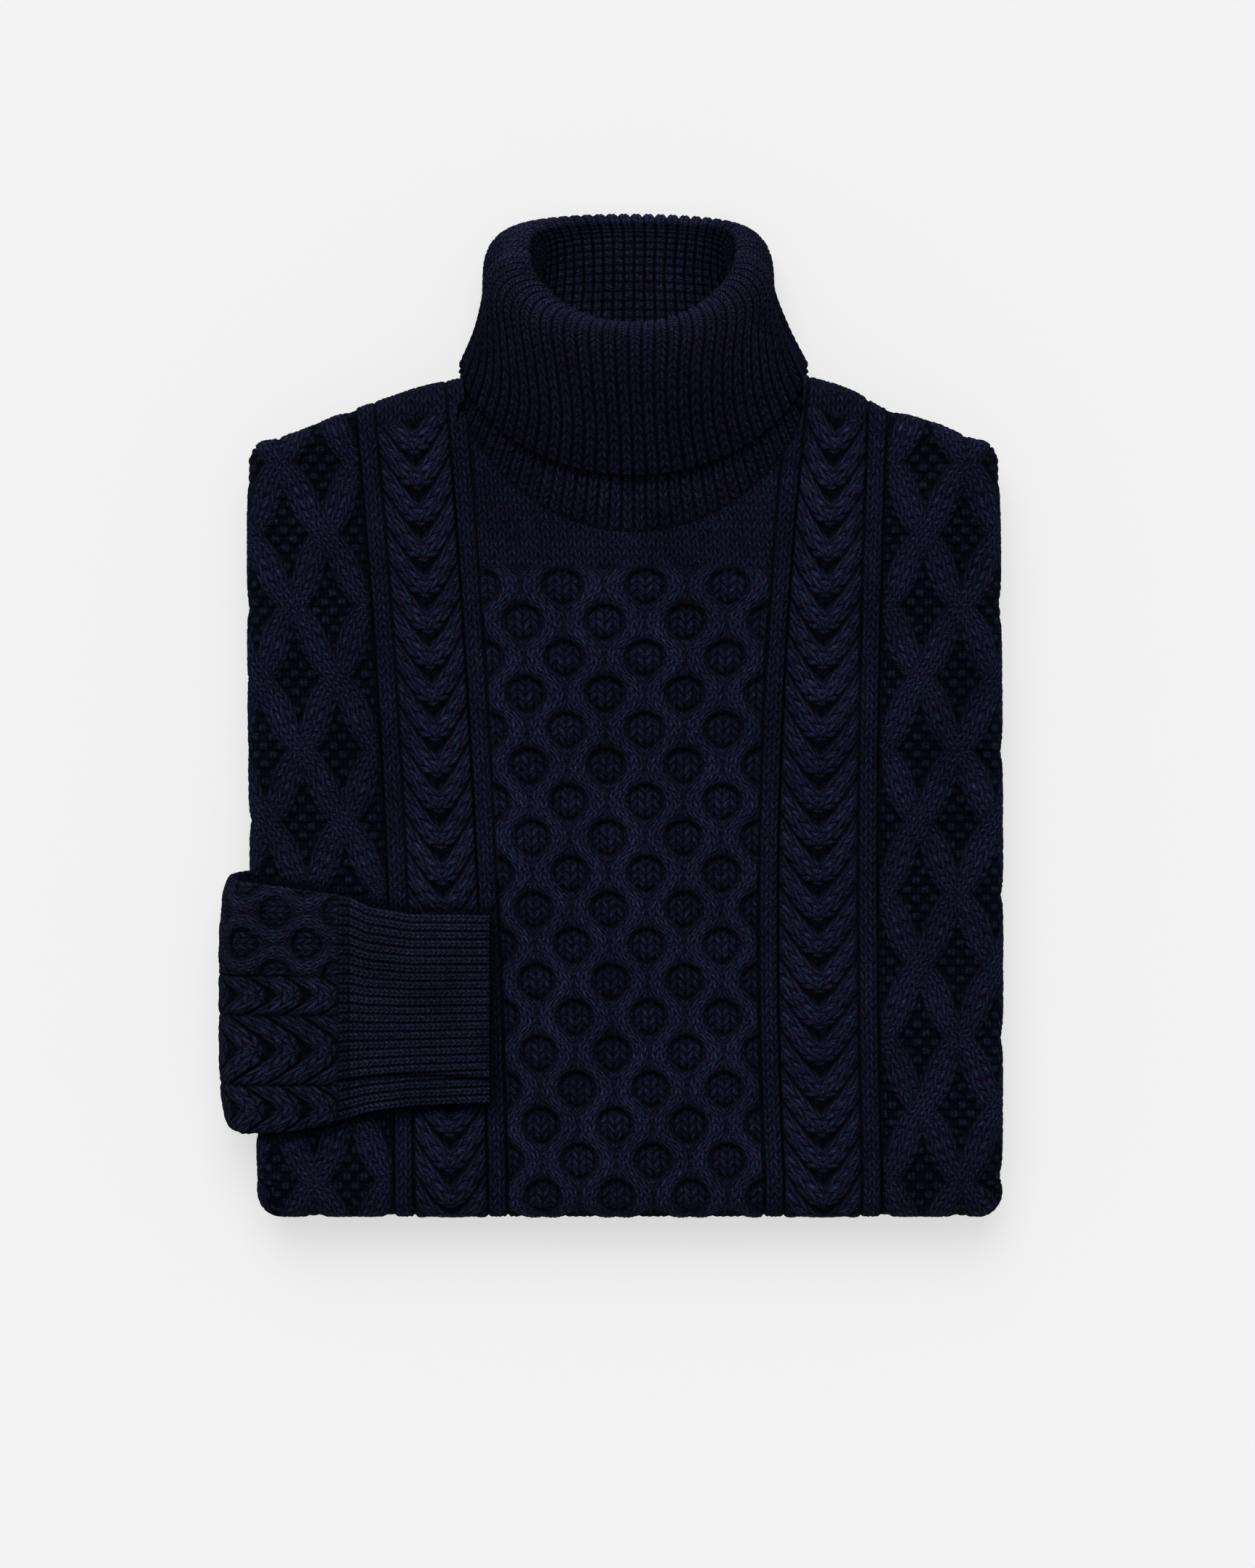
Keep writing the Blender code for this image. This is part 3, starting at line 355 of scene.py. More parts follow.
class Knit:
    """What is knitted at each place: its height, its wale and course, and how much of it is knit."""

    FIELDS = ("height", "wale", "course", "plain", "stitch")

    def __init__(self, shape):
        for name in self.FIELDS:
            setattr(self, name, np.zeros(shape))

    def put(self, where, *values):
        """Lays a pattern where the mask says, with one value for each field."""
        for name, value in zip(self.FIELDS, values, strict=True):
            setattr(self, name, np.where(where, value, getattr(self, name)))

    def surface(self):
        """The height with the stitches on it."""
        return self.height + self.stitch


def cells(across, along):
    """How far each place is from the nearest cell's middle, where 1 is its rim, and where it is in it.

    The cells' middles lie at whole numbers of both, and halfway between them in every other row.
    """
    nearest = np.full(across.shape, 9.0)
    at_u, at_v = np.zeros_like(across), np.zeros_like(across)
    for shift in (0.0, 0.5):
        u = across - shift - np.round(across - shift)
        v = along - shift - np.round(along - shift)
        width = CELL_HALF_WIDTH * (1.0 - CELL_TAPER * blend(v, 0.0, CELL_HALF_LENGTH))
        out = np.hypot(u / width, v / CELL_HALF_LENGTH)
        closer = out < nearest
        nearest = np.where(closer, out, nearest)
        at_u, at_v = np.where(closer, u, at_u), np.where(closer, v, at_v)
    return nearest, at_u, at_v


def honeycomb(across, along, rows):
    """Ribbons two stitches wide that part and meet again round small hollow cells."""
    signed = across - np.round(across)
    out = np.abs(signed)
    turn = 2.0 * math.pi * along
    ribbon_at = 0.25 + CELL_SWAY * np.cos(turn + CELL_BULGE * np.sin(2.0 * turn))
    over = (out - ribbon_at) / CELL_RIBBON
    rim, u, v = cells(across, along)
    raised = CELL_HEIGHT + CELL_ROUND * (1.0 - np.clip(np.abs(over), 0.0, RIBBON_REACH) ** 2)
    upright = np.clip(v / CELL_HALF_LENGTH, -1.0, 1.0)
    dark = CELL_SIDE_DARK + np.where(upright < 0, CELL_TOP_DARK, CELL_POINT_DARK) * upright**2
    deep = CELL_FLOOR - CELL_DEEP * dark * blend(rim, *CELL_HOLLOW)
    height = deep + (raised - deep) * blend(rim, *CELL_WALL)
    wale = np.where(rim < CELL_RIM, u * CELL_WALES + 0.5, np.sign(signed) * over)
    stitch = STITCH_HEIGHT * knit_stitch(wale, rows)
    return height, wale, rows, np.ones_like(height), stitch


def front_cells(x, y, left, right):
    """The honeycomb of the front, which starts below a few plain courses."""
    across = ((x - left) / (right - left) - CELL_FIRST) / CELL_PERIOD
    height, wale, course, plain, stitch = honeycomb(across, (CELL_START - y) / (2 * REPEAT), y / COURSE)
    start = blend(CELL_TOP - y, -CELL_START_SOFT, CELL_START_SOFT)
    plain_wale = (x - left) / STITCH
    wale = np.where(start > 0.5, wale, plain_wale)
    stitch = np.where(start > 0.5, stitch, STITCH_HEIGHT * knit_stitch(wale, course))
    return height * start + PLAIN_HEIGHT * (1.0 - start), wale, course, plain, stitch


def braid(across, half, along, drop):
    """Ribbons that fall from both sides to a point in the middle, one under the other.

    It gives the height, the wale and course, where the ribbons are and how near their outer ends.
    """
    signed = across / half
    out = np.abs(signed)
    turn = (BRAID_START + drop * np.clip(out, 0, 1) ** BRAID_BEND - along) / REPEAT
    spread = BRAID_THIN + BRAID_WIDEN * blend(out, *BRAID_WIDENS_OVER)
    across = (fraction(turn) - BRAID_LAG - spread) / spread
    on_ribbon = np.abs(across) < 1.0
    edge = dome(np.clip((out - BRAID_END) / BRAID_END_ROUND, 0, 1))
    ribbon = BRAID_HEIGHT * dome(across) * edge
    floor = -BRAID_DEPTH * edge * (1.0 - BRAID_POINT_FILL * dome(np.clip(out * BRAID_POINT, 0, 1)))
    wale = np.where(on_ribbon, np.sign(signed) * across, signed * BRAID_FLOOR_WALES + 0.5)
    course = np.where(on_ribbon, out * half * BRAID_STRANDS / COURSE, along / COURSE)
    return np.where(on_ribbon, ribbon, floor), wale, course, edge


def front_braid(x, y, left, right):
    """A braid of the front between two ribs, below the plain courses of the shoulder."""
    half = (right - left) / 2 - GUTTER + BRAID_OVER_GUTTER
    height, wale, course, edge = braid(x - (left + right) / 2, half, y, BRAID_DROP)
    top = blend(shoulder_y(x) - y, *BRAID_TOP)
    height = height * top + PLAIN_HEIGHT * (1.0 - top)
    wale = np.where(top > 0.5, wale, x / STITCH)
    course = np.where(top > 0.5, course, y / COURSE)
    return height, wale, course, np.ones_like(x), STITCH_HEIGHT * edge * knit_stitch(wale, course)


def lattice(out, y):
    """Three-stitch ribbons that cross each other, with moss stitch in the diamonds."""
    across = (out - LATTICE_FIRST) / LATTICE_STEP
    along = (LATTICE_START - y) / (2 * REPEAT)
    along = along + LATTICE_BEND * np.sin(2.0 * math.pi * along)
    leans = (across + along, across - along)
    offsets = [(lean % 2.0 - 1.0) / LATTICE_RIBBON for lean in leans]
    first_over = np.floor(along + 0.5) % 2 < 1
    first = np.abs(offsets[0]) < np.where(first_over, 1.0, np.abs(offsets[1]))
    inside = np.abs(offsets[0]) < 1.0
    other = np.abs(offsets[1]) < 1.0
    use_first = inside & (first | ~other)
    offset = np.where(use_first, offsets[0], offsets[1])
    on_ribbon = inside | other
    length = math.hypot(LATTICE_STEP, 2 * REPEAT) / COURSE
    wale = np.where(use_first, 1.0, -1.0) * offset * LATTICE_STITCHES / 2
    course = np.where(use_first, -leans[1], leans[0]) / 2 * length
    fade = blend(out - GUTTER, *LATTICE_FADE)
    ribbon = LATTICE_HEIGHT * np.maximum(dome(offsets[0]), dome(offsets[1])) ** LATTICE_ROUND
    moss = MOSS_HEIGHT * moss_stitch(out / STITCH, y / COURSE) - MOSS_DEPTH
    height = np.where(on_ribbon, ribbon, moss * fade)
    wale = np.where(on_ribbon, wale, out / STITCH)
    course = np.where(on_ribbon, course, y / COURSE)
    knit = STITCH_HEIGHT * knit_stitch(wale, course)
    return (height * fade, wale, course, np.where(on_ribbon, 1.0, 0.0),
            np.where(on_ribbon, knit, 0.0) * fade)


def front_knit(x, y):
    """The front's whole pattern at places of the spread front."""
    knit = Knit(x.shape)
    purl_wale, rows = x / STITCH, y / COURSE
    ground = PURL_HEIGHT * purl_stitch(purl_wale, rows) - GUTTER_DEPTH
    knit.put(True, ground, purl_wale, rows, 0.0, 0.0)
    ribs = [column_x(name, y) for name in list(COLUMNS)[1:5]]
    for left, right in ((ribs[0], ribs[1]), (ribs[2], ribs[3])):
        knit.put((x > left + GUTTER) & (x < right - GUTTER), *front_braid(x, y, left, right))
    inside = (x > ribs[1] + GUTTER) & (x < ribs[2] - GUTTER)
    knit.put(inside, *front_cells(x, y, ribs[1], ribs[2]))
    knit.put(x < ribs[0] - GUTTER, *lattice(ribs[0] - x, y))
    knit.put(x > ribs[3] + GUTTER, *lattice(x - ribs[3], y))
    for rib in ribs:
        offset = x - rib
        wale = offset / STITCH
        height = RIB_HEIGHT * dome(offset / RIB_HALF) ** RIB_SQUARE
        stitch = STITCH_HEIGHT * knit_stitch(wale, rows)
        knit.put(np.abs(offset) < RIB_HALF, height, wale, rows, 1.0, stitch)
    pressed = 1.0 - PRESS * under_sleeve(x, y)
    knit.height = knit.height * pressed
    knit.stitch = knit.stitch * pressed
    return knit


def under_sleeve(x, y):
    """Where the sleeve presses the front's cables flat: 0 outside it, 1 well inside."""
    table = np.array(SLEEVE_ROWS)
    along = CUFF_END_X - x
    top = np.interp(along, table[:, 0], table[:, 1])
    bottom = np.interp(along, table[:, 0], table[:, 2])
    inside = np.minimum(np.minimum(top - y, y - bottom), along)
    return blend(inside, -PRESS_REACH, 0.0)


def front_point(x, side_angle, y, end_angle, out):
    """A point out from the front's inner face. The angles say how far it is round a fold."""
    angle = np.maximum(np.abs(side_angle), np.abs(end_angle))
    length = np.maximum(np.hypot(side_angle, end_angle), 1e-9)
    to_side, to_end = side_angle / length, end_angle / length
    end_radius = np.where(end_angle < 0, BOTTOM_RADIUS, SIDE_RADIUS)
    radius = SIDE_RADIUS * to_side**2 + end_radius * to_end**2
    radius = np.where(angle > 0, radius, SIDE_RADIUS)
    centre = TOP_HEIGHT + crown(x, y) - radius
    reach = (radius + out) * np.sin(angle)
    return np.stack(
        [x + reach * to_side, y + reach * to_end, centre + (radius + out) * np.cos(angle)], axis=-1
    )


def grid_faces(rows, columns, wrap_rows=False, wrap_columns=False):
    """The corners of each quad of a grid, as (row, column) pairs before any wrapping."""
    i, j = np.meshgrid(np.arange(rows - (not wrap_rows)), np.arange(columns - (not wrap_columns)),
                       indexing="ij")
    i, j = i.ravel(), j.ravel()
    return np.stack([i, i + 1, i + 1, i], 1), np.stack([j, j, j + 1, j + 1], 1)


def zip_lines(one, other):
    """The triangles between two lines of points of unlike fineness."""
    one_at, other_at = np.linspace(0, 1, len(one)), np.linspace(0, 1, len(other))
    faces, i, j = [], 0, 0
    while i < len(one) - 1 or j < len(other) - 1:
        forward = j == len(other) - 1
        if i < len(one) - 1 and not forward:
            forward = one_at[i + 1] + one_at[i] <= other_at[j + 1] + other_at[j]
        if forward:
            faces.append((one[i], one[i + 1], other[j]))
            i += 1
        else:
            faces.append((one[i], other[j + 1], other[j]))
            j += 1
    return faces


def write_mesh(name, points, faces, coordinates, plain, hollow, material):
    """Makes an object of faces with three or four corners.

    coordinates holds the wale and course of each corner of each face, and hollow the painted shade of each
    point.
    """
    mesh = bpy.data.meshes.new(name)
    sizes = np.concatenate([np.full(len(f), f.shape[1]) for f in faces])
    corners = np.concatenate([f.ravel() for f in faces])
    mesh.vertices.add(len(points))
    mesh.vertices.foreach_set("co", (points * MM).astype(np.float32).ravel())
    mesh.loops.add(len(corners))
    mesh.loops.foreach_set("vertex_index", corners.astype(np.int32))
    mesh.polygons.add(len(sizes))
    starts = np.concatenate([[0], np.cumsum(sizes)[:-1]])
    mesh.polygons.foreach_set("loop_start", starts.astype(np.int32))
    mesh.polygons.foreach_set("loop_total", sizes.astype(np.int32))
    mesh.update(calc_edges=True)
    mesh.validate()
    layer = mesh.uv_layers.new(name="knit coordinates")
    layer.data.foreach_set("uv", coordinates.astype(np.float32).ravel())
    # The hollow attribute carries each point's painted shade to the wool
    for label, values in (("plain", plain), ("hollow", hollow)):
        attribute = mesh.attributes.new(label, "FLOAT", "POINT")
        attribute.data.foreach_set("value", values.astype(np.float32))
    mesh.shade_smooth()
    mesh.materials.append(material)
    piece = bpy.data.objects.new(name, mesh)
    bpy.context.scene.collection.objects.link(piece)
    return piece


def painted_shade_by_depth(height):
    """The painted shade of a place by how deep it lies among the cables: 1 at the bottom of a hole, 0 on
    their tops, less above, where it is painted lighter.
    """
    return np.clip((LIT_HEIGHT - height) / BLACK_DEPTH, -MOST_LIGHT, 1.0)


def make_shell(name, outer, inner, knit, material):
    """A closed cloth shell: a fine outer grid, a coarse inner grid and the rim between them."""
    rows, columns = outer.shape[:2]
    count = rows * columns
    i, j = grid_faces(rows, columns)
    quads = i * columns + j
    uv = np.stack([knit.wale[i, j], knit.course[i, j]], -1).reshape(-1, 2)
    in_rows, in_columns = inner.shape[:2]
    a, b = grid_faces(in_rows, in_columns)
    back = (count + a * in_columns + b)[:, ::-1]
    outer_at = np.arange(count).reshape(rows, columns)
    inner_at = count + np.arange(in_rows * in_columns).reshape(in_rows, in_columns)
    rims = zip_lines(list(outer_at[0]), list(inner_at[0]))
    rims += zip_lines(list(outer_at[-1][::-1]), list(inner_at[-1][::-1]))
    rims += zip_lines(list(outer_at[::-1, 0]), list(inner_at[::-1, 0]))
    rims += zip_lines(list(outer_at[:, -1]), list(inner_at[:, -1]))
    rims = np.array(rims)
    points = np.concatenate([outer.reshape(-1, 3), inner.reshape(-1, 3)])
    other = points[np.concatenate([back.ravel(), rims.ravel()])]
    uv = np.concatenate([uv, other[:, :2] / (STITCH, COURSE)])
    plain = np.concatenate([knit.plain.ravel(), np.zeros(in_rows * in_columns)])
    # The outer face is painted darker the deeper it lies; the inner face gets one even painted shade
    hidden = np.full(in_rows * in_columns, INSIDE_SHADE)
    hollow = np.concatenate([painted_shade_by_depth(knit.surface()).ravel(), hidden])
    return write_mesh(name, points, [quads, back, rims], uv, plain, hollow, material)


def ring_coordinates(knit, i, j):
    """The wale and course of each corner of a ring's faces; where the ring closes, the wales count on."""
    wale = np.concatenate([knit.wale, 2 * knit.wale[:, -1:] - knit.wale[:, -2:-1]], 1)
    course = np.concatenate([knit.course, knit.course[:, :1]], 1)
    wale, course = (np.concatenate([lines, lines[:1]], 0) for lines in (wale, course))
    return np.stack([wale[i, j], course[i, j]], -1)


def make_ring_shell(name, grid, knit, material):
    """A closed ring of cloth: rows run round the cloth's section and columns round the tube."""
    rows, columns = grid.shape[:2]
    i, j = grid_faces(rows, columns, True, True)
    quads = (i % rows) * columns + j % columns
    uv = ring_coordinates(knit, i, j)
    points = grid.reshape(-1, 3)
    corners = points[quads]
    volume = np.einsum("ij,ij->i", corners[:, 0], np.cross(corners[:, 1], corners[:, 2])).sum()
    volume += np.einsum("ij,ij->i", corners[:, 0], np.cross(corners[:, 2], corners[:, 3])).sum()
    if volume < 0:
        quads, uv = quads[:, ::-1], uv[:, ::-1]
    # The ring is painted darker where it lies deeper
    return write_mesh(name, points, [quads], uv.reshape(-1, 2), knit.plain.ravel(),
                      painted_shade_by_depth(knit.surface()).ravel(), material)


def seam_x(name, y):
    """The x where two pieces of the front meet, or where it starts to roll under at a side."""
    column, beside, at_neck, turn = SEAMS[name]
    x = column_x(column, y) + beside
    if at_neck is not None:
        x = x + (at_neck - x) * blend(y, *SEAM_LEAVES)
        x = x + turn * blend(y, *SEAM_TURNS)
    return x


def across_steps(width, step, roll_left=False, roll_right=False):
    """Shares of the width and fold angles of a panel's columns, from left to right."""
    shares = np.linspace(0, 1, max(int(width / step), 2) + 1)
    angles = np.zeros_like(shares)
    turn = np.radians(np.linspace(0, FOLD_TURN, max(int(SIDE_ROLL / step), 4) + 1)[1:])
    if roll_left:
        shares = np.concatenate([np.zeros_like(turn), shares])
        angles = np.concatenate([-turn[::-1], angles])
    if roll_right:
        shares = np.concatenate([shares, np.ones_like(turn)])
        angles = np.concatenate([angles, turn])
    return shares, angles


def panel_grid(left, right, shares, sides, step, at_neck):
    """The places of a front panel: x, y and both fold angles, in rows from its top to its rim."""
    def spread(y):
        """The x of each column at the height y."""
        return seam_x(left, y) + shares * (seam_x(right, y) - seam_x(left, y))

    high = spread(PANEL_TOP)
    if at_neck:
        top = np.full_like(high, NECK_GUESS)
        for _ in range(NECK_ROUNDS):
            top = np.minimum(neckline_y(spread(top)), NECK_SIDE)
        top = top + NECK_OVER
    else:
        top = shoulder_y(high) - FOLD_INSET
    flat = max(int((PANEL_REACH - BOTTOM_FOLD) / step), 8)
    part = np.linspace(0, 1, flat + 1)[:, None]
    y = top + part * (BOTTOM_FOLD - top)
    ends = np.zeros_like(y)
    turns = max(int(BOTTOM_ROLL / step / BOTTOM_ROLL_STEP), 5)
    over = np.radians(np.linspace(0, FOLD_TURN, turns + 1)[1:])[:, None]
    y = np.concatenate([y, np.full((len(over), len(shares)), BOTTOM_FOLD)])
    ends = np.concatenate([ends, -over * np.ones_like(top)])
    if not at_neck:
        turns = max(int(SHOULDER_ROLL / step), 3)
        up = np.radians(np.linspace(SHOULDER_TURN, 0, turns + 1)[:-1])[:, None]
        y = np.concatenate([top * np.ones((len(up), 1)), y])
        ends = np.concatenate([up * np.ones_like(top), ends])
    x = spread(y)
    return x, y, np.broadcast_to(sides, x.shape), ends


def soft_creases(x, y):
    """Shallow dips and swells of cloth that lies loosely."""
    swell = np.zeros_like(x)
    for at_x, at_y, across, along, lean, height in CREASES:
        turn = math.radians(lean)
        u = (x - at_x) * math.cos(turn) + (y - at_y) * math.sin(turn)
        v = (y - at_y) * math.cos(turn) - (x - at_x) * math.sin(turn)
        swell += height * np.exp(-np.square(u / across) - np.square(v / along))
    return swell


def make_panel(name, left, right, width, rolls, at_neck, material):
    """One panel of the front, in its own piece."""
    step = MIDDLE_GRID if at_neck else FRONT_GRID
    shares, sides = across_steps(width, step, *rolls)
    x, y, side, end = panel_grid(left, right, shares, sides, step, at_neck)
    end_radius = np.where(end < 0, BOTTOM_RADIUS, SIDE_RADIUS) + WALL
    spread_x = x + (SIDE_RADIUS + WALL) * side
    spread_y = y + end_radius * end
    knit = front_knit(spread_x, spread_y)
    angle = np.degrees(np.maximum(np.abs(side), np.abs(end)))
    fade = 1.0 - FOLD_FADE * blend(angle, *FOLD_FADE_ANGLES)
    lift = FOLD_HEIGHT + (soften(knit.height) - FOLD_HEIGHT) * fade + knit.stitch
    lift += soft_creases(x, y) * (1.0 - blend(angle, 0.0, CREASE_FADE_ANGLE))
    outer = front_point(x, side, y, end, WALL + lift)
    shares, sides = across_steps(width, INSIDE_GRID, *rolls)
    x, y, side, end = panel_grid(left, right, shares, sides, INSIDE_GRID, at_neck)
    inner = front_point(x, side, y, end, 0.0)
    return make_shell(name, outer, inner, knit, material)


def collar_row(part):
    """The collar's sizes a part of the way from its hem to the seam, on a smooth curve."""
    table = np.array(COLLAR_RINGS)
    at = part * (len(table) - 1)
    i = int(min(max(math.floor(at), 0), len(table) - 2))
    t = at - i
    before = table[i - 1] if i > 0 else 2 * table[0] - table[1]
    after = table[i + 2] if i + 2 < len(table) else 2 * table[-1] - table[-2]
    a, b = table[i], table[i + 1]
    row = a + 0.5 * t * (b - before + t * (2 * before - 5 * a + 4 * b - after
                                           + t * (3 * (a - b) + after - before)))
    return dict(zip(COLLAR_FIELDS, row))


def collar_ring(part, count):
    """A ring of the collar's middle surface: points evenly spaced from the middle of its back."""
    row = collar_row(part)
    turn = np.linspace(-math.pi / 2, 1.5 * math.pi, 1441)
    cos, sin = np.cos(turn), np.sin(turn)
    x = row["x"] + row["half"] * cos
    to_y = np.where(sin > 0, row["y_front"], row["y_back"]) - row["y_side"]
    to_z = np.where(sin > 0, row["z_front"], row["z_back"]) - row["z_side"]
    power = np.where(sin > 0, RING_POWER_FRONT, RING_POWER_BACK)
    y = row["y_side"] + to_y * np.abs(sin) ** power
    z = row["z_side"] + to_z * np.abs(sin) ** RING_POWER_Z
    points = np.stack([x, y, z], axis=1)
    steps = np.linalg.norm(np.diff(points, axis=0), axis=1)
    steps *= 1.0 + row["crowd"] * np.abs(cos[1:]) ** 4
    way = np.concatenate([[0.0], np.cumsum(steps)])
    wanted = np.arange(count) / count * way[-1]
    return np.stack([np.interp(wanted, way, points[:, k]) for k in range(3)], axis=1)


def collar_face(part, count, out):
    """A ring moved out from the middle surface by the distance given for each of its points."""
    step = 0.01
    ring = collar_ring(part, count)
    along = collar_ring(min(part + step, 1.0), count) - collar_ring(max(part - step, 0.0), count)
    around = np.roll(ring, -2, axis=0) - np.roll(ring, 2, axis=0)
    normal = np.cross(along, around)
    normal /= np.linalg.norm(normal, axis=1)[:, None]
    return ring + normal * np.reshape(out, (-1, 1))


def make_collar(material):
    """The ribbed collar: the turned-over half, the rolled crest and the stand, in one closed tube."""
    count = COLLAR_RIBS * COLLAR_PLACES
    fine = int(COLLAR_FINE_END * COLLAR_LENGTH / COLLAR_ALONG)
    plan = [(part, 1) for part in np.linspace(0.0, COLLAR_FINE_END, fine)]
    plan += [(part, 1) for part in np.linspace(COLLAR_FINE_END, 1.0, COLLAR_LAST_ROWS)[1:]]
    plan += [(part, -1) for part in np.linspace(1.0, HIDDEN_FINE_END, HIDDEN_FINE_ROWS)]
    plan += [(part, -1) for part in np.linspace(HIDDEN_FINE_END, HIDDEN_END, HIDDEN_ROWS)[1:]]
    wale = np.arange(count) / count * COLLAR_RIBS
    turn = np.sin(2.0 * math.pi * np.arange(count) / count)
    rib = dome(2.0 * (fraction(wale) - 0.5) / RIB_SHARE)
    knit = Knit((len(plan), count))
    grid = np.zeros((len(plan), count, 3))
    for k, (part, face) in enumerate(plan):
        course = np.full(count, part * COLLAR_LENGTH / COLLAR_COURSE)
        inside = face > 0 and part > CREST_PART
        if inside:
            height = -INSIDE_RIB * COLLAR_RIB_HEIGHT * (1.0 - rib)
            stitch = INSIDE_STITCH * dome(2.0 * fraction(course) - 1.0) * rib
            # Painted light inside the collar, with painted shade toward its sides
            shade = COLLAR_INSIDE_SHADE - COLLAR_SIDES_DARK * np.abs(turn) ** 3
        else:
            height = COLLAR_RIB_HEIGHT * rib
            stitch = COLLAR_STITCH * knit_stitch(wale, -course) * rib
            # A painted highlight along the crest and painted shade toward the hem
            crest = CREST_LIGHT * math.exp(-((part - CREST_LIT) / CREST_WIDE) ** 2)
            shade = crest + COLLAR_HEM_SHADE * float(blend(-part, *HEM_PARTS))
        if face < 0:
            flatter = 1.0 - HIDDEN_FLAT * blend(np.abs(part - HIDDEN_FULL), 0.0, HIDDEN_FULL_REACH)
            height, stitch = height * flatter, stitch * flatter
        out = COLLAR_WALL / 2 + height + stitch - COLLAR_SUNK
        grid[k] = collar_face(part, count, face * out)
        knit.wale[k], knit.course[k] = wale, -course
        # The collar's heights here carry only painted light and shade, with its ribs painted lighter than
        # their grooves; its shape is set above
        knit.height[k] = COLLAR_RIB_LIT * height / COLLAR_RIB_HEIGHT - COLLAR_GROOVE_DARK + shade
        knit.stitch[k] = stitch
        knit.plain[k] = 0.0 if inside else 1.0
    grid[..., 2] = np.maximum(grid[..., 2], LOWEST)
    return make_ring_shell("turned_collar", grid, knit, material)


def sleeve_edges(along):
    """The sleeve's two edges, at a distance along it from the cuff's end."""
    table = np.array(SLEEVE_ROWS)
    return (np.interp(along, table[:, 0], table[:, k]) for k in (1, 2))


def sleeve_point(along, y, out):
    """Points of the flattened sleeve, at the distance out from what it lies on."""
    x = CUFF_END_X - along
    flat = TOP_HEIGHT + WALL + SLEEVE_CLEAR + crown(x, y) + out
    angle = np.maximum((WRAP_X - x) / WRAP_LENGTH, 0.0)
    rise = np.where(np.cos(angle) > 0, WRAP_TOP, WRAP_BASE)
    height = WRAP_Z + (rise + out) * np.cos(angle)
    round_x = WRAP_X - (WRAP_SIDE + out) * np.sin(angle)
    wrapped = x < WRAP_X
    return np.stack([np.where(wrapped, round_x, x), y, np.where(wrapped, height, flat)], -1)


def tube_grid(alongs, tops, inset, pattern):
    """Rings round the flattened tube: the top from one edge to the other, then the base."""
    along = alongs[:, None]
    top, bottom = sleeve_edges(along)
    top, bottom = top - inset[0], bottom + inset[1]
    low, high = inset[2], SLEEVE_THICKNESS - inset[2]
    turn = np.concatenate([np.arange(tops) / tops, np.arange(BASE_PLACES) / BASE_PLACES]) * math.pi
    sign = np.concatenate([np.ones(tops), -np.ones(BASE_PLACES)])
    across = np.cos(turn) * sign
    y = (top + bottom) / 2 + across * (top - bottom) / 2
    bulge = np.sqrt(1.0 - across**4)
    out = (low + high) / 2 + sign * bulge * (high - low) / 2
    along = along * np.ones_like(y)
    knit = pattern(along, y, sign * np.ones_like(y)) if pattern else Knit(y.shape)
    raised = knit.surface() * bulge**0.5 if pattern else 0.0
    bumps = EDGE_BUMP * knit.stitch * across**9
    points = sleeve_point(along, y + bumps, out + sign * raised)
    points[..., 2] = np.maximum(points[..., 2], LOWEST)
    return points, knit


def join_knits(one, other):
    """Two patterns as one, the second's rows after the first's."""
    joined = Knit((0, 0))
    for name in Knit.FIELDS:
        setattr(joined, name, np.concatenate([getattr(one, name), getattr(other, name)]))
    return joined


def cuff_pattern(along, y, sign):
    """The cuff's ribs, which run along it, its lengthwise crease and the layer below the crease."""
    knit = Knit(y.shape)
    top, bottom = sleeve_edges(along)
    wale = (y - bottom) / (top - bottom) * CUFF_RIBS
    course = along / CUFF_COURSE
    rib = dome(2.0 * (fraction(wale) - 0.5) / RIB_SHARE)
    crease = CREASE_Y + CREASE_BOW * np.sin(math.pi * np.clip(along / CUFF_LENGTH, 0.0, 1.0))
    groove = np.exp(-np.square((y - crease) / CREASE_HALF))
    height = CUFF_RIB_HEIGHT * (rib - 0.5) - np.where(sign > 0, CREASE_DEPTH * groove, 0.0)
    knit.put(True, height, wale, course, 1.0, CUFF_STITCH_HEIGHT * knit_stitch(wale, course) * rib)
    return knit


def sleeve_pattern(along, y, sign):
    """The sleeve's cables: cells by its upper edge, then braids, and the cuff's ribs where it starts."""
    knit = Knit(y.shape)
    course = along / COURSE
    height, wale, _, plain, stitch = honeycomb(
        (y - SLEEVE_CELL_Y) / SLEEVE_CELL_WIDTH, (SLEEVE_CELL_X - along) / SLEEVE_CELL_LENGTH, -course)
    knit.put(True, SLEEVE_CELL_SHARE * height - SLEEVE_CELL_SUNK, wale, -course, plain, stitch)
    for middle, half, drop in SLEEVE_BRAIDS:
        height, wale, rows, edge = braid(y - middle, half, along, drop)
        stitch = STITCH_HEIGHT * edge * knit_stitch(wale, rows)
        lift = SLEEVE_BRAID_SHARE * height + edge - SLEEVE_BRAID_SUNK
        knit.put(np.abs(y - middle) < half + BRAID_OVERLAP, lift, wale, rows, 1.0, stitch)
    cuff = cuff_pattern(along, y, sign)
    turned = blend(along, *SLEEVE_FADE)
    knit.height = knit.height + (SLEEVE_FADE_HEIGHT - knit.height) * SLEEVE_FADE_SHARE * turned
    near = 1.0 - blend(along - CUFF_LENGTH, 0.0, CUFF_BLEND)
    knit.height = knit.height * (1.0 - near) + cuff.height * near
    knit.put(near > CUFF_FROM, knit.height, cuff.wale, cuff.course, 1.0, cuff.stitch)
    stitch = UNDER_STITCH * STITCH_HEIGHT * knit_stitch(y / STITCH, course)
    knit.put(sign < 0, 0.0, y / STITCH, course, 1.0, stitch)
    return knit


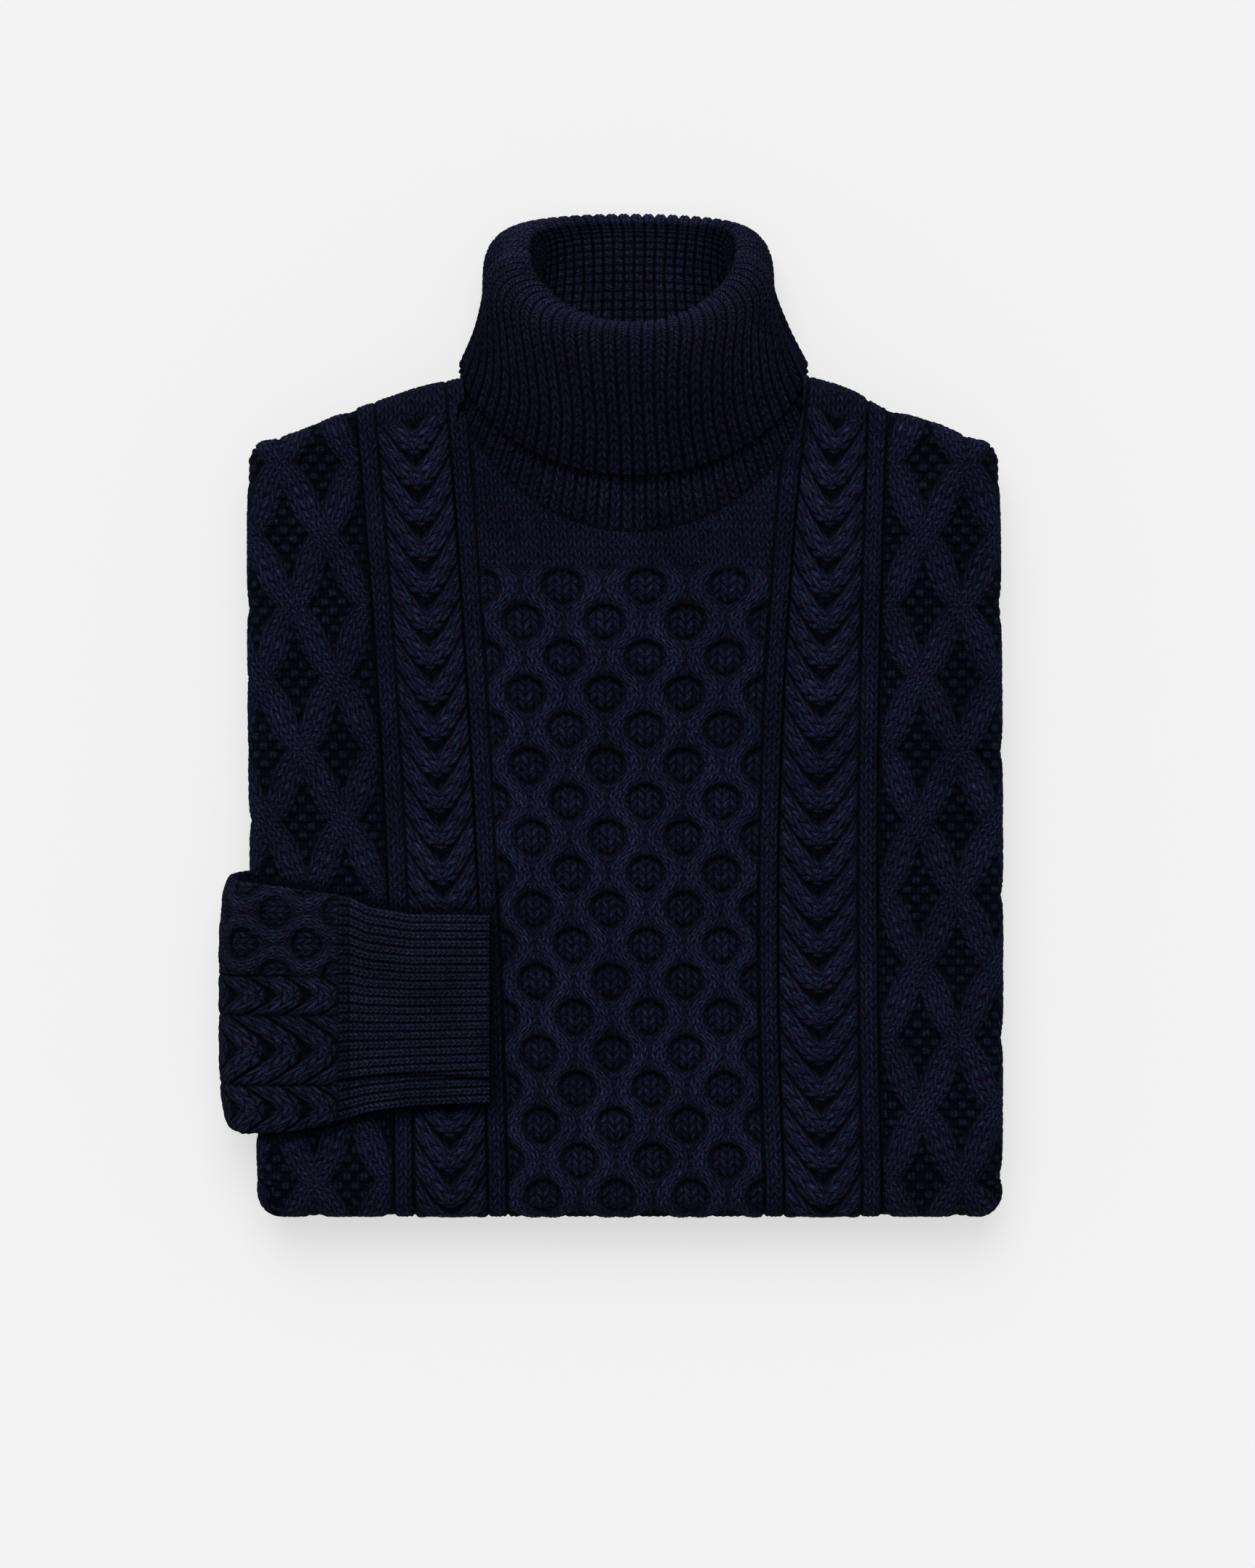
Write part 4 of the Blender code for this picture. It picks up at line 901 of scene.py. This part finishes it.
def make_tube(name, start, end, step, places, pattern, material):
    """A stretch of the flattened tube of the sleeve, open at both ends."""
    outer_at = np.linspace(start, end, int((end - start) / step) + 1)
    inner_at = np.linspace(end, start, TUBE_INSIDE_ROWS)
    outer, knit = tube_grid(outer_at, places, (0.0, 0.0, 0.0), pattern)
    inset = (SLEEVE_WALL + TUBE_INSET_TOP, SLEEVE_WALL + TUBE_INSET_BOTTOM, SLEEVE_WALL)
    inner, hidden = tube_grid(inner_at, places, inset, None)
    return make_ring_shell(name, np.concatenate([outer, inner]), join_knits(knit, hidden), material)


def layer_outline(z, out, lip, count):
    """The edge of the hidden layers at the height z, out from the fold lines."""
    sides = np.linspace(BOTTOM_FOLD + LAYER_CORNER, LAYER_SIDE_TOP, LAYER_SIDE_POINTS)
    left = column_x("left fold", sides) + FOLD_INSET - out
    window = blend(sides, *TUCK_STARTS) * (1.0 - blend(sides, *TUCK_ENDS))
    left = left + LAYER_TUCK * window
    across = np.linspace(LAYER_LEFT, LAYER_RIGHT, LAYER_END_POINTS)
    top = shoulder_y(across) - FOLD_INSET + min(out, LAYER_TOP_OUT)
    right = column_x("right fold", sides) - FOLD_INSET + out
    rise = z - (TOP_HEIGHT - BOTTOM_RADIUS)
    reach = math.sqrt(max((BOTTOM_RADIUS - LAYER_CLEAR) ** 2 - rise**2, 0.0))
    reach = reach * lip - LAYER_LIP_INSET * (1.0 - lip)
    below = np.linspace(LAYER_BOTTOM_RIGHT, LAYER_BOTTOM_LEFT, LAYER_END_POINTS)
    x = np.concatenate([left, across, right[::-1], below])
    y = np.concatenate([sides, top, sides[::-1], np.full(len(below), BOTTOM_FOLD - reach)])
    steps = np.hypot(np.diff(x, append=x[0]), np.diff(y, append=y[0]))
    way = np.concatenate([[0.0], np.cumsum(steps)])
    wanted = np.arange(count) / count * way[-1]
    points = np.stack([np.interp(wanted, way, np.append(line, line[0])) for line in (x, y)], 1)
    for _ in range(LAYER_SMOOTHINGS):
        points = 0.25 * np.roll(points, 1, 0) + 0.5 * points + 0.25 * np.roll(points, -1, 0)
    return points


def layer_rings():
    """The rounded edges of the hidden layers one above the other, as rings from the table up."""
    count = LAYER_PLACES
    turn = np.arange(count) / count * 2.0 * math.pi
    middle = np.array(LAYER_MIDDLE)
    heights = np.linspace(LAYER_LOWEST, LAYER_HEIGHT, LAYER_ROWS)
    grid = np.zeros((LAYER_ROWS, count, 3))
    for k, z in enumerate(heights):
        layer = fraction(z / LAYER_THICKNESS)
        out = LAYER_OUT - LAYER_GROOVE * (1.0 - dome(2.0 * layer - 1.0) ** LAYER_ROUND)
        line = layer_outline(z, out, float(blend(z, *LIP_HEIGHTS)), count)
        shift = WAVE_SHIFT * math.floor(z / LAYER_THICKNESS)
        wave = np.sin(WAVE_LONG * turn + shift) * np.sin(WAVE_SHORT * turn)
        line = middle + (line - middle) * (1.0 + WAVE_SIZE * np.minimum(wave, 0.0)[:, None])
        grid[k] = np.column_stack([line, np.full(count, z)])
    return grid


def make_layers_piece(material):
    """The hidden layers as one piece, closed by caps of smaller and smaller rings."""
    grid = layer_rings()
    middle = np.array(LAYER_MIDDLE)
    caps = []
    for ring, z in ((grid[0], 0.0), (grid[-1], LAYER_HEIGHT + CAP_RISE)):
        caps.append([np.column_stack([middle + (ring[:, :2] - middle) * part, np.full(LAYER_PLACES, z)])
                     for part in CAP_SCALES])
    rings = np.array(caps[0][::-1] + list(grid) + caps[1])
    knit = Knit(rings.shape[:2])
    wale = np.round(LAYER_LENGTH / STITCH) * np.arange(LAYER_PLACES) / LAYER_PLACES
    course = np.cumsum(np.ones(rings.shape[:2]), 0) * LAYER_COURSES
    # The layers' heights here carry only their even painted light level
    knit.put(True, LAYER_LIT, wale, course, 1.0, 0.0)
    return close_rings("folded_edges", rings, knit, material)


def close_rings(name, rings, knit, material):
    """A solid of rings one on another, with both ends closed by fans."""
    rows, columns = rings.shape[:2]
    i, j = grid_faces(rows, columns, False, True)
    quads = (i * columns + j % columns)[:, ::-1]
    uv = ring_coordinates(knit, i, j)[:, ::-1].reshape(-1, 2)
    points = rings.reshape(-1, 3)
    hubs = np.array([rings[0].mean(0), rings[-1].mean(0)])
    around = np.arange(columns)
    after = (around + 1) % columns
    low = np.stack([around, after, np.full(columns, len(points))], 1)
    last = (rows - 1) * columns
    high = np.stack([last + after, last + around, np.full(columns, len(points) + 1)], 1)
    points = np.concatenate([points, hubs])
    fans = np.concatenate([low, high])
    uv = np.concatenate([uv, points[fans.ravel()][:, :2] / (STITCH, COURSE)])
    plain = np.append(knit.plain.ravel(), [1.0, 1.0])
    # Painted shade from the heights, and an even painted shade at both hubs
    hollow = np.append(painted_shade_by_depth(knit.height).ravel(), [HUB_SHADE, HUB_SHADE])
    return write_mesh(name, points, [quads, fans], uv, plain, hollow, material)


def make_back(material):
    """The back's shoulder and neck edge, rolled under the front's, as one strip."""
    count = int((BACK_RIGHT - BACK_LEFT) / BACK_STEP)
    x = np.linspace(BACK_LEFT, BACK_RIGHT, count)[None, :]
    y = shoulder_y(x) - FOLD_INSET
    edge = blend(np.abs(x - NECK_X), *BACK_NECK)
    start = np.radians(BACK_TURN - BACK_SOONER * edge)
    rows = []
    for radius, order, parts in (
        (SIDE_RADIUS + WALL, 1, BACK_OUTSIDE_ROWS),
        (SIDE_RADIUS, -1, BACK_INSIDE_ROWS),
    ):
        part = np.linspace(0.0, 1.0, parts)[:, None]
        angle = start + (math.pi - start) * part
        centre = TOP_HEIGHT - SIDE_RADIUS
        arc = np.stack([x + 0.0 * angle, y + radius * np.sin(angle), centre + radius * np.cos(angle)], -1)
        legs = np.linspace(0.0, BACK_LENGTH, BACK_LENGTH_ROWS)[1:, None]
        leg = np.stack([x + 0.0 * legs, y - legs, centre - radius + 0.0 * (x + legs)], -1)
        rows.append(np.concatenate([arc, leg])[::order])
    knit = Knit(rows[0].shape[:2])
    wale = (x + 0.0 * rows[0][:, :, 0]) / STITCH
    course = np.cumsum(np.ones_like(wale), 0) * BACK_STEP / COURSE
    knit.put(True, 0.0, wale, course, 1.0, 0.0)
    return make_shell("back_edge", rows[0], rows[1][::-1], knit, material)


def main():
    """Makes every piece, the table, the light and the camera."""
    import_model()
    wools = {name: wool(name, *values) for name, *values in WOOLS}
    for name, left, right, width, rolls, at_neck, flat in PANELS:
        piece = make_panel(name, left, right, width, rolls, at_neck, wools["front wool"])
        dress(piece, "front")
    dress(make_collar(wools["collar wool"]), "collar")
    cuff = make_tube("ribbed_cuff", 0.0, CUFF_LENGTH - CUFF_SEAM, CUFF_GRID, CUFF_PLACES, cuff_pattern,
                     wools["cuff wool"])
    dress(cuff, "cuff")
    sleeve = make_tube("cabled_sleeve", CUFF_LENGTH + CUFF_SEAM, SLEEVE_END, SLEEVE_GRID, SLEEVE_PLACES,
                       sleeve_pattern, wools["sleeve wool"])
    dress(sleeve, "sleeve")
    dress(make_back(wools["back wool"]), "back")
    folded = make_layers_piece(wools["folded wool"])
    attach(folded, "root")
    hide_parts("folded_layers")
    make_studio()
    make_camera()


def dress(piece, node):
    """Hangs a piece of cloth under the root and hides the model's part that it stands for."""
    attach(piece, "root")
    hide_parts(node)


def math_node(tree, operation, *values):
    """A Math node with its inputs linked or set."""
    node = tree.nodes.new("ShaderNodeMath")
    node.operation = operation
    for socket, value in zip(node.inputs, values):
        if isinstance(value, bpy.types.NodeSocket):
            tree.links.new(value, socket)
        else:
            socket.default_value = value
    return node.outputs[0]


def noise_node(tree, place, scale, detail, roughness, low, high):
    """A noise at a place, spread so that low becomes 0 and high becomes 1. Its scale is linked or set."""
    noise = tree.nodes.new("ShaderNodeTexNoise")
    tree.links.new(place, noise.inputs["Vector"])
    if isinstance(scale, bpy.types.NodeSocket):
        tree.links.new(scale, noise.inputs["Scale"])
    else:
        noise.inputs["Scale"].default_value = scale
    noise.inputs["Detail"].default_value = detail
    noise.inputs["Roughness"].default_value = roughness
    spread = tree.nodes.new("ShaderNodeMapRange")
    spread.inputs["From Min"].default_value = low
    spread.inputs["From Max"].default_value = high
    tree.links.new(noise.outputs["Fac"], spread.inputs["Value"])
    return spread.outputs[0]


def yarn_group():
    """Stitch legs and the streaky plies of their yarn, from wale and course."""
    tree = bpy.data.node_groups.new("knitted yarn", "ShaderNodeTree")
    for name, kind in (("Coordinates", "NodeSocketVector"), ("Plain", "NodeSocketFloat")):
        tree.interface.new_socket(name, in_out="INPUT", socket_type=kind)
    for name in ("Leg", "Streak", "Height"):
        tree.interface.new_socket(name, in_out="OUTPUT", socket_type="NodeSocketFloat")
    start = tree.nodes.new("NodeGroupInput")
    end = tree.nodes.new("NodeGroupOutput")
    split = tree.nodes.new("ShaderNodeSeparateXYZ")
    tree.links.new(start.outputs["Coordinates"], split.inputs[0])
    wale, course = split.outputs[0], split.outputs[1]
    centred = math_node(tree, "SUBTRACT", math_node(tree, "FRACT", wale), 0.5)
    side = math_node(tree, "MULTIPLY", math_node(tree, "ABSOLUTE", centred), 2.0)
    rise = math_node(tree, "MULTIPLY", side, math_node(tree, "MULTIPLY", start.outputs["Plain"], LEG_RISE))
    slant = math_node(tree, "SUBTRACT", course, rise)
    part = math_node(tree, "MULTIPLY_ADD", math_node(tree, "FRACT", slant), 2.0, -1.0)
    square = math_node(tree, "MULTIPLY", part, part)
    leg = math_node(tree, "SQRT", math_node(tree, "MAXIMUM", math_node(tree, "SUBTRACT", 1.0, square), 0.0))
    middle = math_node(tree, "ABSOLUTE", math_node(tree, "MULTIPLY_ADD", side, 2.0, -1.0))
    thin = math_node(tree, "MULTIPLY_ADD", math_node(tree, "POWER", middle, 3.0), -YARN_PINCH, 1.0)
    leg = math_node(tree, "MULTIPLY", leg, thin)
    place = tree.nodes.new("ShaderNodeCombineXYZ")
    tree.links.new(math_node(tree, "MULTIPLY", slant, PLY_ACROSS), place.inputs[0])
    tree.links.new(math_node(tree, "MULTIPLY", wale, PLY_ALONG), place.inputs[1])
    streak = noise_node(tree, place.outputs[0], 1.0, 3.0, 0.65, 0.3, 0.7)
    height = math_node(tree, "MULTIPLY_ADD", streak, 0.5, leg)
    for name, value in (("Leg", leg), ("Streak", streak), ("Height", height)):
        tree.links.new(value, end.inputs[name])
    return tree


def fibre_group():
    """Loose fibres: fine flecks, wide soft changes of the dye, and fibres of two tints."""
    tree = bpy.data.node_groups.new("wool fibres", "ShaderNodeTree")
    tree.interface.new_socket("Scale", in_out="INPUT", socket_type="NodeSocketFloat")
    for name in ("Fleck", "Dye", "Heather"):
        tree.interface.new_socket(name, in_out="OUTPUT", socket_type="NodeSocketFloat")
    start = tree.nodes.new("NodeGroupInput")
    end = tree.nodes.new("NodeGroupOutput")
    place = tree.nodes.new("ShaderNodeTexCoord").outputs["Object"]
    for name, scale, detail, roughness, low, high in (
        ("Fleck", start.outputs["Scale"], 4.0, 0.8, 0.34, 0.68),
        ("Dye", DYE_SCALE, 3.0, 0.5, 0.3, 0.7),
        ("Heather", HEATHER_SCALE, 2.0, 0.5, 0.4, 0.6),
    ):
        tree.links.new(noise_node(tree, place, scale, detail, roughness, low, high), end.inputs[name])
    return tree


def wool(name, deep, lit):
    """Matt navy wool: painted shade near black in the holes, painted light on the streaky yarn, and a soft
    nap.
    """
    material = bpy.data.materials.new(name)
    material.use_nodes = True
    tree = material.node_tree
    shader = tree.nodes["Principled BSDF"]
    groups = bpy.data.node_groups
    yarn = tree.nodes.new("ShaderNodeGroup")
    yarn.node_tree = groups.get("knitted yarn") or yarn_group()
    fibre = tree.nodes.new("ShaderNodeGroup")
    fibre.node_tree = groups.get("wool fibres") or fibre_group()
    fibre.inputs["Scale"].default_value = FIBRE_SCALE
    coordinates = tree.nodes.new("ShaderNodeUVMap")
    coordinates.uv_map = "knit coordinates"
    tree.links.new(coordinates.outputs[0], yarn.inputs["Coordinates"])
    masks = {}
    for label in ("plain", "hollow"):
        node = tree.nodes.new("ShaderNodeAttribute")
        node.attribute_name = label
        masks[label] = node.outputs["Fac"]
    tree.links.new(masks["plain"], yarn.inputs["Plain"])
    # Painted shade: the deeper a place, the darker its colour
    raised = math_node(tree, "SUBTRACT", 1.0, masks["hollow"])
    shade = math_node(tree, "POWER", raised, PAINTED_LIGHT_POWER)
    # Painted shade in the gaps between legs and painted highlights along the plies' streaks; flecks and dye
    # vary the tone at random
    for effect, lit_by in (
        (yarn.outputs["Leg"], LEG_GAP_PAINTED_SHADE),
        (yarn.outputs["Streak"], STREAK_TONE_AND_HIGHLIGHT),
        (fibre.outputs["Fleck"], FLECK_LIT),
        (fibre.outputs["Dye"], DYE_LIT),
    ):
        shade = math_node(tree, "MULTIPLY", shade, math_node(tree, "MULTIPLY_ADD", effect, *lit_by))
    shade = math_node(tree, "MULTIPLY", math_node(tree, "POWER", shade, SHADE_POWER), SHADE_GAIN)
    # The colour runs from the painted shade colour of the holes to the lit yarn colour, and past it where
    # the painted light is strongest
    mix = tree.nodes.new("ShaderNodeMix")
    mix.data_type = "RGBA"
    mix.clamp_factor = False
    tree.links.new(shade, mix.inputs["Factor"])
    mix.inputs["A"].default_value = (*deep, 1.0)
    heathered = tree.nodes.new("ShaderNodeMix")
    heathered.data_type = "RGBA"
    tree.links.new(fibre.outputs["Heather"], heathered.inputs["Factor"])
    for socket, tint in (("A", WARM_TINT), ("B", COOL_TINT)):
        colour = [part * factor for part, factor in zip(lit, tint)]
        heathered.inputs[socket].default_value = (*colour, 1.0)
    tree.links.new(heathered.outputs["Result"], mix.inputs["B"])
    tree.links.new(mix.outputs["Result"], shader.inputs["Base Color"])
    height = math_node(tree, "MULTIPLY_ADD", fibre.outputs["Fleck"], 0.5, yarn.outputs["Height"])
    bump = tree.nodes.new("ShaderNodeBump")
    bump.inputs["Strength"].default_value = 1.0
    bump.inputs["Distance"].default_value = 0.0011
    tree.links.new(height, bump.inputs["Height"])
    tree.links.new(bump.outputs[0], shader.inputs["Normal"])
    shader.inputs["Roughness"].default_value = 0.95
    shader.inputs["Specular IOR Level"].default_value = 0.02
    shader.inputs["Sheen Weight"].default_value = 0.012
    shader.inputs["Sheen Roughness"].default_value = 0.4
    shader.inputs["Sheen Tint"].default_value = (0.5, 0.6, 1.0, 1.0)
    return material


def make_studio():
    """A pale, faintly glowing table under soft light that comes from beyond the collar."""
    world = bpy.data.worlds.new("soft studio")
    bpy.context.scene.world = world
    world.use_nodes = True
    world.node_tree.nodes["Background"].inputs["Color"].default_value = (1.0, 1.0, 1.0, 1.0)
    world.node_tree.nodes["Background"].inputs["Strength"].default_value = 0.42
    bpy.ops.mesh.primitive_plane_add(size=12.0, location=(0.0, 0.0, -0.0005))
    table = bpy.context.object
    table.name = "table"
    material = bpy.data.materials.new("pale table")
    material.use_nodes = True
    shader = material.node_tree.nodes["Principled BSDF"]
    shader.inputs["Base Color"].default_value = (0.30, 0.30, 0.30, 1.0)
    shader.inputs["Roughness"].default_value = 1.0
    shader.inputs["Specular IOR Level"].default_value = 0.0
    shader.inputs["Emission Color"].default_value = (1.0, 1.0, 1.0, 1.0)
    shader.inputs["Emission Strength"].default_value = 0.61
    table.data.materials.append(material)
    sun = bpy.data.lights.new("window", "SUN")
    sun.energy = 2.2
    sun.angle = math.radians(50.0)
    lamp = bpy.data.objects.new("window", sun)
    lamp.rotation_euler = (math.radians(-40.0), math.radians(-6.0), 0.0)
    bpy.context.scene.collection.objects.link(lamp)
    bpy.context.scene.view_settings.view_transform = "Standard"


def make_camera():
    """Straight above the sweater, with the photograph's frame."""
    camera = bpy.data.cameras.new("camera")
    camera.lens = LENS
    camera.sensor_width = SENSOR
    distance = FRAME_HEIGHT * LENS / SENSOR
    item = bpy.data.objects.new("camera", camera)
    item.location = (FRAME_CENTRE[0] * MM, FRAME_CENTRE[1] * MM, (FOCUS_HEIGHT + distance) * MM)
    bpy.context.scene.collection.objects.link(item)
    bpy.context.scene.camera = item
    camera.clip_end = 20.0


main()
